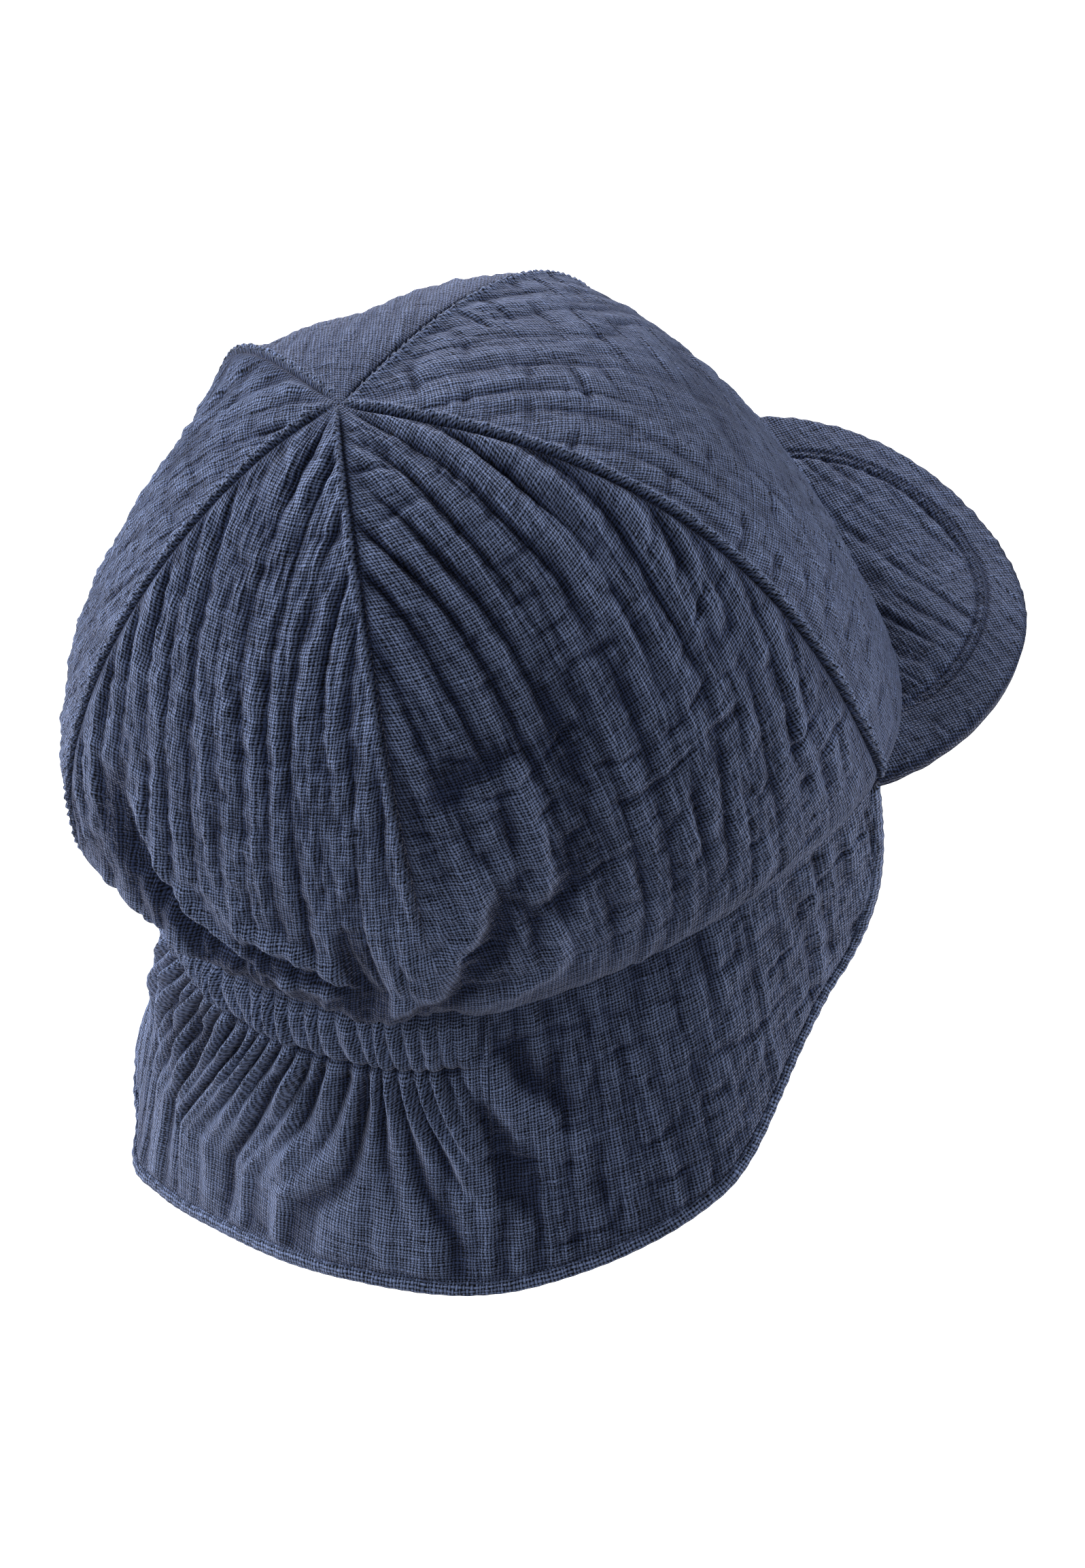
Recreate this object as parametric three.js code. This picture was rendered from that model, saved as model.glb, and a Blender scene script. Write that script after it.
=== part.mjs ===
// A small child's legionnaire cap in crinkled muslin: five crown gores, a peak with a border,
// a gathered elastic tunnel at the nape, and a neck flap with a rolled hem.
//
// Millimetres, +Z up. The wearer faces -Y, and the wearer's left is +X. The origin is where the
// cap sits on the head, at the middle of its rim. An azimuth is in degrees round the head: 0 at
// the front, 90 at the wearer's right, 180 at the nape, and 360 back at the front.

import * as THREE from 'three';

// Cloth
const CLOTH = 1.5;              // two layers of crinkled muslin
const PEAK_THICKNESS = 2.4;     // cloth on both sides of a thin interlining
const GAP = 0.3;                // clearance between neighbouring pieces

// Crown
const GORES = ['right_side_gore', 'right_back_gore', 'left_back_gore', 'left_side_gore', 'front_gore'];
const GORE_COLUMNS = 18;
const GORE_ROWS = 14;
const APEX_HEIGHT = 112;
const APEX_BACK = 26;           // the apex lies this far behind the rim's middle
const APEX_RADIUS = 1.6;        // the gores stop this far short of the apex
const BULGE_LEVEL = 0.74;       // level, from 0 at the apex to 1 at the rim, of the widest place
const FRONT_SEAM = 42;          // azimuth at the rim of the seam that ends at the peak's corner
const SIDE_SEAM = 115;          // azimuth at the rim of the seam behind the ear
const FLAT_PANELS = 0.83;       // how far each gore is drawn flat between its seams, 0 to 1
const ROUND_LEVEL = 0.9;        // level from which the gores are round again
const crownSections = named(
  ['azimuth', 'rimRadius', 'rimHeight', 'bulgeRadius', 'bulgeHeight', 'fullness'],
  [
    [0, 85, 25.5, 88.5, 29, 3.0],
    [30, 89, 26.5, 90, 30, 2.8],
    [45, 87.5, 26.5, 88.7, 30, 2.55],
    [60, 81.5, 23.5, 86, 29, 2.3],
    [90, 70.5, 9, 79, 23, 2.05],
    [120, 71, 1, 80.5, 15, 1.8],
    [150, 72, -3.5, 84, 17, 1.6],
    [180, 72.5, -6, 89, 22, 1.4],
  ],
);

// Relief of the crown: the cloth's ribs, the puckers over the elastic, and a few large dents
const RIB_PITCH = 13;
const RIB_HEIGHT = 0.7;
const PUCKERS_PER_GORE = GORE_COLUMNS / 2;
const PUCKER_HEIGHT = 1.3;
const PUCKER_LEVEL = 0.84;      // level where the puckers are deepest
const PUCKER_REACH = 0.12;
const SEAM_SPREAD = 3;          // gore angle over which the cloth lies plain beside a seam
const APEX_EASE = 0.15;         // level by which the relief has its full height below the apex
const RIM_EASE = 0.1;           // and over which it dies out again above the rim
const crownDents = named(
  ['gore', 'level', 'goreSpread', 'levelSpread', 'push'],
  [
    [-152, 0.6, 16, 0.1, 2.2],    // the slack left of the nape billows out
    [-116, 0.42, 18, 0.13, -3.2], // and is drawn in above that
    [-108, 0.22, 8, 0.1, 2.5],    // the seam on the left stands up as a ridge
    [-68, 0.33, 9, 0.1, -1.7],    // a hollow above the left ear
    [126, 0.86, 10, 0.07, 2.5],   // the billow that hangs over the tunnel's right end
    [168, 0.86, 7, 0.06, -4],     // the deep fold beside the nape
    [78, 0.5, 16, 0.2, -2],       // a slack hollow above the right ear
  ],
);

// Elastic tunnel
const TUNNEL_START = 110;       // azimuth of the tunnel's end behind the right ear
const TUNNEL_HEIGHT = 13;
const TUNNEL_ROWS = 2;
const GATHERS = 36;
const GATHER_HEIGHT = 1.1;      // half the height of a gather, from crest to valley
const GATHER_START = 6;         // azimuth over which the gathers begin
const TUNNEL_NOTCH = 0.4;       // azimuth over which the flap's top steps down beside the tunnel

// Neck flap
const FLAP_ROWS = 5;
const FLAP_BENDS = 8;           // straight steps that make up the curve of the flap from rim to hem
const FLAP_FRONT_DROP = 4;      // length of cloth left at the flap's first column
const FLAP_SEAT = 1.2;          // the flap's face stands this far outside the crown's edge
const FLAP_RADIUS = 80;         // mean radius, to turn azimuths into lengths of cloth
const GATHER_FADE = 26;         // the gathers fade over this length below the tunnel
const HEM_WIDTH = 3.7;
const HEM_THICKNESS = 2.6;
const HEM_ROWS = 3;
const HEM_STEP = 5.5;           // length of one step along the hem
const EDGE_STEPS = 400;         // places that an offset of the free edge is worked out at
const flapSections = named(
  ['azimuth', 'flareAtRim', 'flareAtHem'],
  [
    [42, 13, 7],
    [50, 7, 4],
    [62, 9, 10],
    [80, 23, 22],
    [105, 21, 22],
    [130, 12, 22],
    [155, 4, 16],
    [180, 4, 12],
  ],
);
// Columns of the flap on one side, close where its edge is steep; the gathered part has its own
const flapColumns = named(
  ['end', 'steps'],
  [
    [46.5, 4],
    [62, 5],
    [TUNNEL_START - 1.5 * TUNNEL_NOTCH, 11],
  ],
);
// Where the cloth swings in towards the neck: on the wearer's left of the nape it hangs slack
const flapSwings = named(
  ['azimuth', 'spread', 'turn'],
  [
    [148, 18, -2],
    [213, 20, -10.5],
  ],
);
// The flap's free edge on the flat cloth, from the temple down and round to the nape
const flapEdge = named(
  ['azimuth', 'drop'],
  [
    [42.4, 0],
    [43.4, 12],
    [46, 26],
    [50, 36],
    [57, 42],
    [68, 51],
    [80, 60],
    [105, 66.5],
    [130, 66.5],
    [155, 75.5],
    [180, 83.5],
  ],
);

// Peak
const PEAK_CORNER = 41.9;       // azimuth of the peak's corner on the rim
const PEAK_FORWARD = 56.4;      // from the line through the corners to the tip
const PEAK_TIP_HEIGHT = 22.5;
const PEAK_ARCH = 2.2;          // how far the shoulders of the peak stand above its tip and corners
const PEAK_TIP_DIP = 2.3;       // how suddenly the tip dips: the power of the cosine
const STITCH_CORNER = 29;       // azimuth where the border's stitched line meets the rim
const STITCH_FORWARD = 37;
const STITCH_NARROWING = -0.1;
const STITCH_RISE = 2;          // the stitched line's tip above the peak's tip
const ROOT_TUCK = 0.8;          // the peak's root reaches this far inside the crown's edge
const ROOT_DROP = 0.45;         // and lies this far below it
const PEAK_COLUMNS = 24;
const FIELD_ROWS = 6;
const BORDER_ROWS = 2;
const BORDER_CLEARANCE = 0.4;   // measured outwards from the stitched line, which it crosses aslant
const FIELD_CAMBER = 1.2;
const PEAK_RIB_PITCH = 10;
const PEAK_RIB_HEIGHT = 0.5;

const DEGREE = Math.PI / 180;
const GORE_HALF_ANGLE = 180 / GORES.length;
const UP = new THREE.Vector3(0, 0, 1);
const muslin = { color: 0x3d4559, roughness: 0.95, metalness: 0 };

// Tables and curves

function named(columns, rows) {
  return rows.map((row) => Object.fromEntries(columns.map((name, i) => [name, row[i]])));
}

/**
 * A smooth curve through the rows of a table, between the two rows that hold the place. It is
 * level at its last row, and at its first one too unless that is an edge of the cloth.
 */
function sample(rows, place, column, startsLevel = true) {
  const key = Object.keys(rows[0])[0];
  const last = rows.length - 1;
  let i = 0;
  while (i < last - 1 && place > rows[i + 1][key]) i += 1;
  const at = (k) => rows[Math.max(0, Math.min(last, k))];
  const slope = (k) => {
    if (k >= last || (k <= 0 && startsLevel)) return 0;
    const before = at(k - 1);
    const after = at(k + 1);
    return (after[column] - before[column]) / (after[key] - before[key]);
  };
  const step = rows[i + 1][key] - rows[i][key];
  const t = THREE.MathUtils.clamp((place - rows[i][key]) / step, 0, 1);
  const [t2, t3] = [t * t, t * t * t];
  return (2 * t3 - 3 * t2 + 1) * rows[i][column] + (t3 - 2 * t2 + t) * step * slope(i)
    + (3 * t2 - 2 * t3) * rows[i + 1][column] + (t3 - t2) * step * slope(i + 1);
}

/** The same azimuth on the wearer's right, because the tables hold one side. */
function folded(azimuth) {
  const turn = THREE.MathUtils.euclideanModulo(azimuth, 360);
  return turn > 180 ? 360 - turn : turn;
}

function section(azimuth, column) {
  return sample(crownSections, folded(azimuth), column);
}

function atAzimuth(azimuth, radius, height) {
  const angle = azimuth * DEGREE;
  return new THREE.Vector3(-radius * Math.sin(angle), -radius * Math.cos(angle), height);
}

function bump(distance, spread) {
  return Math.exp(-((distance / spread) ** 2));
}

/** 1 over the gathered stretch round the nape, and 0 in front of its ends. */
function gathered(azimuth) {
  return THREE.MathUtils.smoothstep(folded(azimuth), TUNNEL_START, TUNNEL_START + GATHER_START);
}

/** A wave with one crest and one valley in each gather. */
function gatherWave(azimuth) {
  const span = 360 - 2 * TUNNEL_START;
  return Math.cos(2 * Math.PI * GATHERS * (azimuth - TUNNEL_START) / span);
}

// Crown

/** The azimuth of a gore angle at a level, so that the seams end at their places on the rim. */
function seamSwing(goreAngle, level) {
  const [first, second] = [GORE_HALF_ANGLE * DEGREE, 3 * GORE_HALF_ANGLE * DEGREE];
  const [frontTurn, sideTurn] = [FRONT_SEAM - GORE_HALF_ANGLE, SIDE_SEAM - 3 * GORE_HALF_ANGLE];
  const scale = Math.sin(first) * Math.sin(2 * second) - Math.sin(2 * first) * Math.sin(second);
  const once = (frontTurn * Math.sin(2 * second) - sideTurn * Math.sin(2 * first)) / scale;
  const twice = (sideTurn * Math.sin(first) - frontTurn * Math.sin(second)) / scale;
  const angle = goreAngle * DEGREE;
  const share = THREE.MathUtils.smoothstep(level, 0, BULGE_LEVEL);
  return goreAngle + share * (once * Math.sin(angle) + twice * Math.sin(2 * angle));
}

function angleFromMiddle(goreAngle) {
  const width = 2 * GORE_HALF_ANGLE;
  return THREE.MathUtils.euclideanModulo(goreAngle + GORE_HALF_ANGLE, width) - GORE_HALF_ANGLE;
}

/** The smooth outer face of the crown, at a gore angle and a level from the apex to the rim. */
function crownForm(goreAngle, level) {
  const azimuth = seamSwing(goreAngle, level);
  const rimRadius = section(azimuth, 'rimRadius');
  const rimHeight = section(azimuth, 'rimHeight');
  const bulgeRadius = section(azimuth, 'bulgeRadius');
  const bulgeHeight = section(azimuth, 'bulgeHeight');
  const power = 2 / section(azimuth, 'fullness');
  let radius;
  let height;
  let back = 0;
  if (level <= BULGE_LEVEL) {
    const turn = (level / BULGE_LEVEL) * Math.PI / 2;
    const rise = Math.max(0, Math.cos(turn)) ** power;
    radius = bulgeRadius * Math.sin(turn) ** power;
    height = bulgeHeight + (APEX_HEIGHT - bulgeHeight) * rise;
    back = APEX_BACK * rise;
  } else {
    const turn = ((level - BULGE_LEVEL) / (1 - BULGE_LEVEL)) * Math.PI / 2;
    radius = rimRadius + (bulgeRadius - rimRadius) * Math.cos(turn);
    height = bulgeHeight - (bulgeHeight - rimHeight) * Math.sin(turn);
  }
  const fromMiddle = angleFromMiddle(goreAngle);
  const flat = 1 - Math.cos(GORE_HALF_ANGLE * DEGREE) / Math.cos(fromMiddle * DEGREE);
  radius *= 1 - FLAT_PANELS * flat * Math.max(0, 1 - level / ROUND_LEVEL);
  const point = atAzimuth(azimuth, radius, height);
  point.y += back;
  return { point, azimuth, sideways: radius * Math.sin(fromMiddle * DEGREE) };
}

/** How far the cloth stands out of the smooth form. */
function crownRelief(goreAngle, level, form) {
  const openEnds = Math.min(1, level / APEX_EASE) * Math.min(1, (1 - level) / RIM_EASE);
  const offSeam = 1 - bump(GORE_HALF_ANGLE - Math.abs(angleFromMiddle(goreAngle)), SEAM_SPREAD);
  const rib = RIB_HEIGHT * Math.sin(2 * Math.PI * form.sideways / RIB_PITCH);
  const pucker = Math.cos(2 * Math.PI * PUCKERS_PER_GORE * goreAngle / (2 * GORE_HALF_ANGLE));
  let relief = rib * offSeam;
  relief += PUCKER_HEIGHT * pucker * gathered(form.azimuth) * bump(level - PUCKER_LEVEL, PUCKER_REACH);
  for (const dent of crownDents) {
    const away = THREE.MathUtils.euclideanModulo(goreAngle - dent.gore + 180, 360) - 180;
    relief += dent.push * bump(away, dent.goreSpread) * bump(level - dent.level, dent.levelSpread);
  }
  return relief * openEnds;
}

/** The crown's outer face, and the way out of it, which two gores share along their seam. */
function crownPlace(goreAngle, level) {
  const form = crownForm(goreAngle, level);
  const across = crownForm(goreAngle + SEAM_SPREAD, level).point
    .sub(crownForm(goreAngle - SEAM_SPREAD, level).point);
  const step = Math.min(0.005, level);
  const down = crownForm(goreAngle, level + step).point.sub(crownForm(goreAngle, level - step).point);
  const outward = across.cross(down).normalize();
  const point = form.point.addScaledVector(outward, crownRelief(goreAngle, level, form));
  return { point, outward };
}

/** The level at which the crown is as wide as the small hole at its apex. */
function apexLevel(azimuth) {
  const share = APEX_RADIUS / section(azimuth, 'bulgeRadius');
  const turn = Math.asin(share ** (section(azimuth, 'fullness') / 2));
  return BULGE_LEVEL * turn / (Math.PI / 2);
}

function goreGrid(index) {
  const start = GORE_HALF_ANGLE * (1 + 2 * index);
  const end = start + 2 * GORE_HALF_ANGLE;
  return grid(GORE_COLUMNS, GORE_ROWS, (across, down) => {
    const top = apexLevel(start + (end - start) * across);
    const level = top + (1 - top) * down;
    const seam = crownForm(start, level).point;
    const perDegree = crownForm(start + 1, level).point.distanceTo(seam);
    const margin = GAP / 2 / perDegree;
    return crownPlace(start + margin + (end - start - 2 * margin) * across, level);
  });
}

// Flap and tunnel

/** The flap's lean away from the head, from the rim (0) down to the hem (1). */
function flare(azimuth, down) {
  const side = folded(azimuth);
  const top = sample(flapSections, side, 'flareAtRim');
  const hem = sample(flapSections, side, 'flareAtHem');
  let lean = THREE.MathUtils.lerp(top, hem, down);
  for (const swing of flapSwings) lean += swing.turn * bump(azimuth - swing.azimuth, swing.spread);
  return lean * DEGREE;
}

/** A place on the hanging cloth: an azimuth, and how far down the cloth from the rim. */
function flapPoint(azimuth, drop, proud = 0) {
  const whole = Math.max(HEM_WIDTH, sample(flapEdge, folded(azimuth), 'drop'));
  let radius = section(azimuth, 'rimRadius') + FLAP_SEAT;
  let height = section(azimuth, 'rimHeight') - GAP;
  const step = drop / FLAP_BENDS;
  for (let i = 0; i < FLAP_BENDS; i += 1) {
    const lean = flare(azimuth, ((i + 0.5) / FLAP_BENDS) * Math.min(1, drop / whole));
    radius += Math.sin(lean) * step;
    height -= Math.cos(lean) * step;
  }
  const below = Math.max(0, drop - TUNNEL_HEIGHT);
  const gather = GATHER_HEIGHT * gatherWave(azimuth) * gathered(azimuth) * Math.exp(-below / GATHER_FADE);
  return { point: atAzimuth(azimuth, radius + gather + proud, height) };
}

function tunnelGrid() {
  const columns = 2 * GATHERS;
  const edge = GAP / FLAP_RADIUS / DEGREE;
  const start = TUNNEL_START + edge;
  return grid(columns, TUNNEL_ROWS, (across, down) => (
    flapPoint(start + (360 - 2 * start) * across, TUNNEL_HEIGHT * down)
  ));
}

/** The free edge, moved inwards over the flat cloth: a list of azimuths and drops to the nape. */
function edgeMovedIn(distance) {
  const scale = FLAP_RADIUS * DEGREE;
  const first = flapEdge[0].azimuth;
  const places = [];
  for (let i = 0; i <= EDGE_STEPS; i += 1) {
    const azimuth = first + (180 - first) * (i / EDGE_STEPS) ** 2;
    places.push({ azimuth, drop: sample(flapEdge, azimuth, 'drop', false) });
  }
  const runAndFall = (from, to) => [(to.azimuth - from.azimuth) * scale, to.drop - from.drop];
  let length = 0;
  return places.map((here, i) => {
    const before = places[Math.max(0, i - 1)];
    const [run, fall] = runAndFall(before, places[Math.min(EDGE_STEPS, i + 1)]);
    const step = Math.hypot(run, fall);
    length += Math.hypot(...runAndFall(before, here));
    return {
      azimuth: Math.min(180, here.azimuth + distance * fall / step / scale),
      drop: Math.max(0, here.drop - distance * run / step),
      length,
    };
  });
}

/** The drop of a moved edge at an azimuth, by straight lines between its places. */
function dropAt(edge, azimuth) {
  const side = folded(azimuth);
  let i = 0;
  while (i < edge.length - 2 && edge[i + 1].azimuth < side) i += 1;
  const [before, after] = [edge[i], edge[i + 1]];
  const t = THREE.MathUtils.clamp((side - before.azimuth) / (after.azimuth - before.azimuth), 0, 1);
  return before.drop + (after.drop - before.drop) * t;
}

/** Columns of the flap from its front edge on the wearer's right to the nape. */
function flapAzimuths(first) {
  const places = [first];
  for (const zone of flapColumns) {
    const from = places[places.length - 1];
    for (let i = 1; i <= zone.steps; i += 1) places.push(from + (zone.end - from) * i / zone.steps);
  }
  const start = TUNNEL_START - TUNNEL_NOTCH / 2;
  for (let i = 0; i <= GATHERS; i += 1) places.push(start + (180 - start) * i / GATHERS);
  return places;
}

function flapGrid() {
  const bottom = edgeMovedIn(HEM_WIDTH + GAP);
  const first = bottom.find((place) => place.drop > FLAP_FRONT_DROP).azimuth;
  const right = flapAzimuths(first);
  const all = [...right, ...right.slice(0, -1).reverse().map((azimuth) => 360 - azimuth)];
  return grid(all.length - 1, FLAP_ROWS, (across, down) => {
    const azimuth = all[Math.round(across * (all.length - 1))];
    const top = folded(azimuth) > TUNNEL_START - TUNNEL_NOTCH ? TUNNEL_HEIGHT + GAP : 0;
    return flapPoint(azimuth, top + (dropAt(bottom, azimuth) - top) * down);
  });
}

function hemGrid() {
  const inner = edgeMovedIn(HEM_WIDTH);
  const outer = edgeMovedIn(0);
  const total = outer[outer.length - 1].length;
  const half = Math.round(total / HEM_STEP);
  return grid(2 * half, HEM_ROWS, (across, down) => {
    const along = 1 - Math.abs(2 * across - 1);
    let i = 0;
    while (i < outer.length - 1 && outer[i].length < along * total) i += 1;
    const azimuth = THREE.MathUtils.lerp(inner[i].azimuth, outer[i].azimuth, down);
    const drop = THREE.MathUtils.lerp(inner[i].drop, outer[i].drop, down);
    const roll = (HEM_THICKNESS - CLOTH) * (0.5 + 0.5 * Math.sin(Math.PI * down));
    return flapPoint(across > 0.5 ? 360 - azimuth : azimuth, drop, roll);
  });
}

// Peak

/** A place on the peak's root, just under the crown's edge. */
function peakRoot(azimuth) {
  const radius = section(azimuth, 'rimRadius') - ROOT_TUCK;
  return atAzimuth(azimuth, radius, section(azimuth, 'rimHeight') - ROOT_DROP);
}

/** An arched curve between two mirrored places on the rim: the peak's edge or its stitched line. */
function peakCurve(across, corner, forward, narrowing, tipHeight) {
  const turn = (across - 0.5) * Math.PI;
  const [reach, side] = [Math.cos(turn), Math.sin(turn)];
  const end = peakRoot(corner);
  const dip = (tipHeight - end.z) * reach ** PEAK_TIP_DIP;
  const arch = PEAK_ARCH * 4 * (reach * side) ** 2;
  return new THREE.Vector3(
    end.x * side * (1 + narrowing * reach ** 2), end.y - forward * reach, end.z + dip + arch);
}

function peakEdge(across) {
  return peakCurve(across, PEAK_CORNER, PEAK_FORWARD, 0, PEAK_TIP_HEIGHT);
}

function stitchedLine(across) {
  const tip = PEAK_TIP_HEIGHT + STITCH_RISE;
  return peakCurve(across, STITCH_CORNER, STITCH_FORWARD, STITCH_NARROWING, tip);
}

function fieldGrid() {
  return grid(PEAK_COLUMNS, FIELD_ROWS, (across, down) => {
    const root = peakRoot(STITCH_CORNER * (2 * across - 1));
    const point = root.lerp(stitchedLine(across), down);
    const swell = Math.sin(Math.PI * down) ** 2 * Math.sin(Math.PI * across);
    point.z += swell * (FIELD_CAMBER + PEAK_RIB_HEIGHT * Math.sin(2 * Math.PI * point.x / PEAK_RIB_PITCH));
    return { point, outward: UP };
  });
}

function borderGrid() {
  return grid(PEAK_COLUMNS, BORDER_ROWS, (across, down) => {
    const inner = stitchedLine(across);
    const outer = peakEdge(across);
    const clear = BORDER_CLEARANCE / inner.distanceTo(outer);
    return { point: inner.lerp(outer, clear + (1 - clear) * down), outward: UP };
  });
}

// Walls

function grid(columns, rows, placeAt) {
  const places = [];
  for (let i = 0; i <= columns; i += 1) {
    places.push([]);
    for (let j = 0; j <= rows; j += 1) places[i].push(placeAt(i / columns, j / rows));
  }
  return places;
}

/** The way out of a face, from the places around one of them. */
function wayOut(face, i, j) {
  const place = (column, row) => face[THREE.MathUtils.clamp(column, 0, face.length - 1)][
    THREE.MathUtils.clamp(row, 0, face[0].length - 1)].point;
  const across = place(i + 1, j).clone().sub(place(i - 1, j));
  const down = place(i, j + 1).clone().sub(place(i, j - 1));
  return across.cross(down).normalize();
}

/** A closed wall: the grid is its outer face, and its inner face lies a thickness behind it. */
function wall(face, thickness) {
  const columns = face.length;
  const rows = face[0].length;
  const positions = face.flat().flatMap((place) => place.point.toArray());
  for (let i = 0; i < columns; i += 1) {
    for (let j = 0; j < rows; j += 1) {
      const outward = face[i][j].outward ?? wayOut(face, i, j);
      positions.push(...face[i][j].point.clone().addScaledVector(outward, -thickness).toArray());
    }
  }
  const front = (i, j) => i * rows + j;
  const behind = (i, j) => columns * rows + front(i, j);
  const faces = [];
  const quad = (a, b, c, d) => faces.push(a, b, c, a, c, d);
  for (let i = 0; i < columns - 1; i += 1) {
    for (let j = 0; j < rows - 1; j += 1) {
      quad(front(i, j), front(i + 1, j), front(i + 1, j + 1), front(i, j + 1));
      quad(behind(i, j), behind(i, j + 1), behind(i + 1, j + 1), behind(i + 1, j));
    }
    quad(front(i, 0), behind(i, 0), behind(i + 1, 0), front(i + 1, 0));
    quad(front(i, rows - 1), front(i + 1, rows - 1), behind(i + 1, rows - 1), behind(i, rows - 1));
  }
  const end = columns - 1;
  for (let j = 0; j < rows - 1; j += 1) {
    quad(front(0, j), front(0, j + 1), behind(0, j + 1), behind(0, j));
    quad(front(end, j), behind(end, j), behind(end, j + 1), front(end, j + 1));
  }
  const geometry = new THREE.BufferGeometry();
  geometry.setAttribute('position', new THREE.Float32BufferAttribute(positions, 3));
  geometry.setIndex(faces);
  geometry.computeVertexNormals();
  return geometry;
}

function piece(name, outer, thickness) {
  const mesh = new THREE.Mesh(wall(outer, thickness), new THREE.MeshStandardMaterial(muslin));
  mesh.name = name;
  return mesh;
}

const cap = new THREE.Group();
GORES.forEach((name, index) => cap.add(piece(name, goreGrid(index), CLOTH)));
cap.add(piece('elastic_tunnel', tunnelGrid(), CLOTH));
cap.add(piece('neck_flap', flapGrid(), CLOTH));
cap.add(piece('flap_hem', hemGrid(), HEM_THICKNESS));
cap.add(piece('peak_field', fieldGrid(), PEAK_THICKNESS));
cap.add(piece('peak_border', borderGrid(), PEAK_THICKNESS));

export default cap;
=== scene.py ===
"""A small child's legionnaire cap in crinkled muslin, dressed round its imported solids.

The form repeats the solids' own formulas at a finer step, and adds the cloth's crinkles, folds,
seams, gathers and stitches. Lengths in the formulas are millimetres, and meshes are metres.
The wearer faces -Y, and the wearer's left is +X. An azimuth is in degrees round the head: 0 at
the front, 90 at the wearer's right and 180 at the nape. A gore angle is the same thing on the
flat pattern, where the seams lie at 36, 108, 180, 252 and 324. A level runs from 0 at the crown's
apex to 1 at its rim, and a drop is a length down the hanging cloth from the rim.
"""

import math

import bpy
import numpy as np
from bpy.props import FloatProperty, FloatVectorProperty, PointerProperty
from mathutils import Matrix, Vector


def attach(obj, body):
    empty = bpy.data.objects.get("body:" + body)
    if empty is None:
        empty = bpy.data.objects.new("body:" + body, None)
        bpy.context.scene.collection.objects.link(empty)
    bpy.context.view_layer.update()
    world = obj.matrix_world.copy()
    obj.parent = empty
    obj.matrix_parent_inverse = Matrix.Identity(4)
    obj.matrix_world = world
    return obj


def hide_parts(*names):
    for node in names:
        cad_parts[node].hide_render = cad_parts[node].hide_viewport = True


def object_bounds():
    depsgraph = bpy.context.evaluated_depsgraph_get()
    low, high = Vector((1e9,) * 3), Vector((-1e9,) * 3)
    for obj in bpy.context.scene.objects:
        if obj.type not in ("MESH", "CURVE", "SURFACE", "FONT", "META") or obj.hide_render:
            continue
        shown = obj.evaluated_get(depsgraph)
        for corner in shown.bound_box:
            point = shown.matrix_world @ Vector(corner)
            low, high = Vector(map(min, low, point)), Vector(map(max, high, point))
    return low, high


bl_info = {
    "name": "Muslin Legionnaire Cap",
    "version": (1, 0, 0),
    "blender": (4, 5, 0),
    "location": "View3D > Sidebar > Cap",
    "description": "Builds the crinkled cloth, seams and stitches of a child's sun cap",
    "category": "Add Mesh",
}

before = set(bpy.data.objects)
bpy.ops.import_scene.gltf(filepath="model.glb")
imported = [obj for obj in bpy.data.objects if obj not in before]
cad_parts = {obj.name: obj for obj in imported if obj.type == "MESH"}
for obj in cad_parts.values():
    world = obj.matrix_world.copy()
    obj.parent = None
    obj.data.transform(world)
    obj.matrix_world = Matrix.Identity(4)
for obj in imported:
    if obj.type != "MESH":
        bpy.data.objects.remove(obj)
CAD_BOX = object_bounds()
MM = 0.001


def named(columns, rows):
    """A table with named columns, each an array down the rows."""
    return dict(zip(columns, np.array(rows, float).T))


def rows_of(table):
    """The rows of a table, each a mapping from column name to value."""
    return [dict(zip(table, row)) for row in zip(*table.values())]


# Form of the crown, shared with the solids

GORES = ("right_side_gore", "right_back_gore", "left_back_gore", "left_side_gore", "front_gore")
GORE_HALF_ANGLE = 36
APEX_HEIGHT = 112
APEX_BACK = 26
APEX_RADIUS = 0.06              # much smaller than in the solids, because the cloth closes there
BULGE_LEVEL = 0.74
FRONT_SEAM = 42
SIDE_SEAM = 115
FLAT_PANELS = 0.83
ROUND_LEVEL = 0.9
CLOTH = 1.5
CROWN_SECTIONS = named(
    ("azimuth", "rim_radius", "rim_height", "bulge_radius", "bulge_height", "fullness"),
    (
        (0, 85, 25.5, 88.5, 29, 3.0),
        (30, 89, 26.5, 90, 30, 2.8),
        (45, 87.5, 26.5, 88.7, 30, 2.55),
        (60, 81.5, 23.5, 86, 29, 2.3),
        (90, 70.5, 9, 79, 23, 2.05),
        (120, 71, 1, 80.5, 15, 1.8),
        (150, 72, -3.5, 84, 17, 1.6),
        (180, 72.5, -6, 89, 22, 1.4),
    ),
)
CROWN_DENTS = named(
    ("gore", "level", "gore_spread", "level_spread", "push"),
    (
        (-152, 0.6, 16, 0.1, 2.2),
        (-116, 0.42, 18, 0.13, -3.2),
        (-108, 0.22, 8, 0.1, 2.5),
        (-68, 0.33, 9, 0.1, -1.7),
        (126, 0.86, 10, 0.07, 2.5),
        (168, 0.86, 7, 0.06, -4),
        (78, 0.5, 16, 0.2, -2),
    ),
)
DENT_FADE_TOP = 0.15            # the dents fade over these levels at the apex and the rim
DENT_FADE_RIM = 0.1
NORMAL_SPREAD = 3               # the way out is found from places this far off in gore angle
NORMAL_STEP = 0.005             # and this far off in level

# Form of the flap and tunnel, shared with the solids

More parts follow.
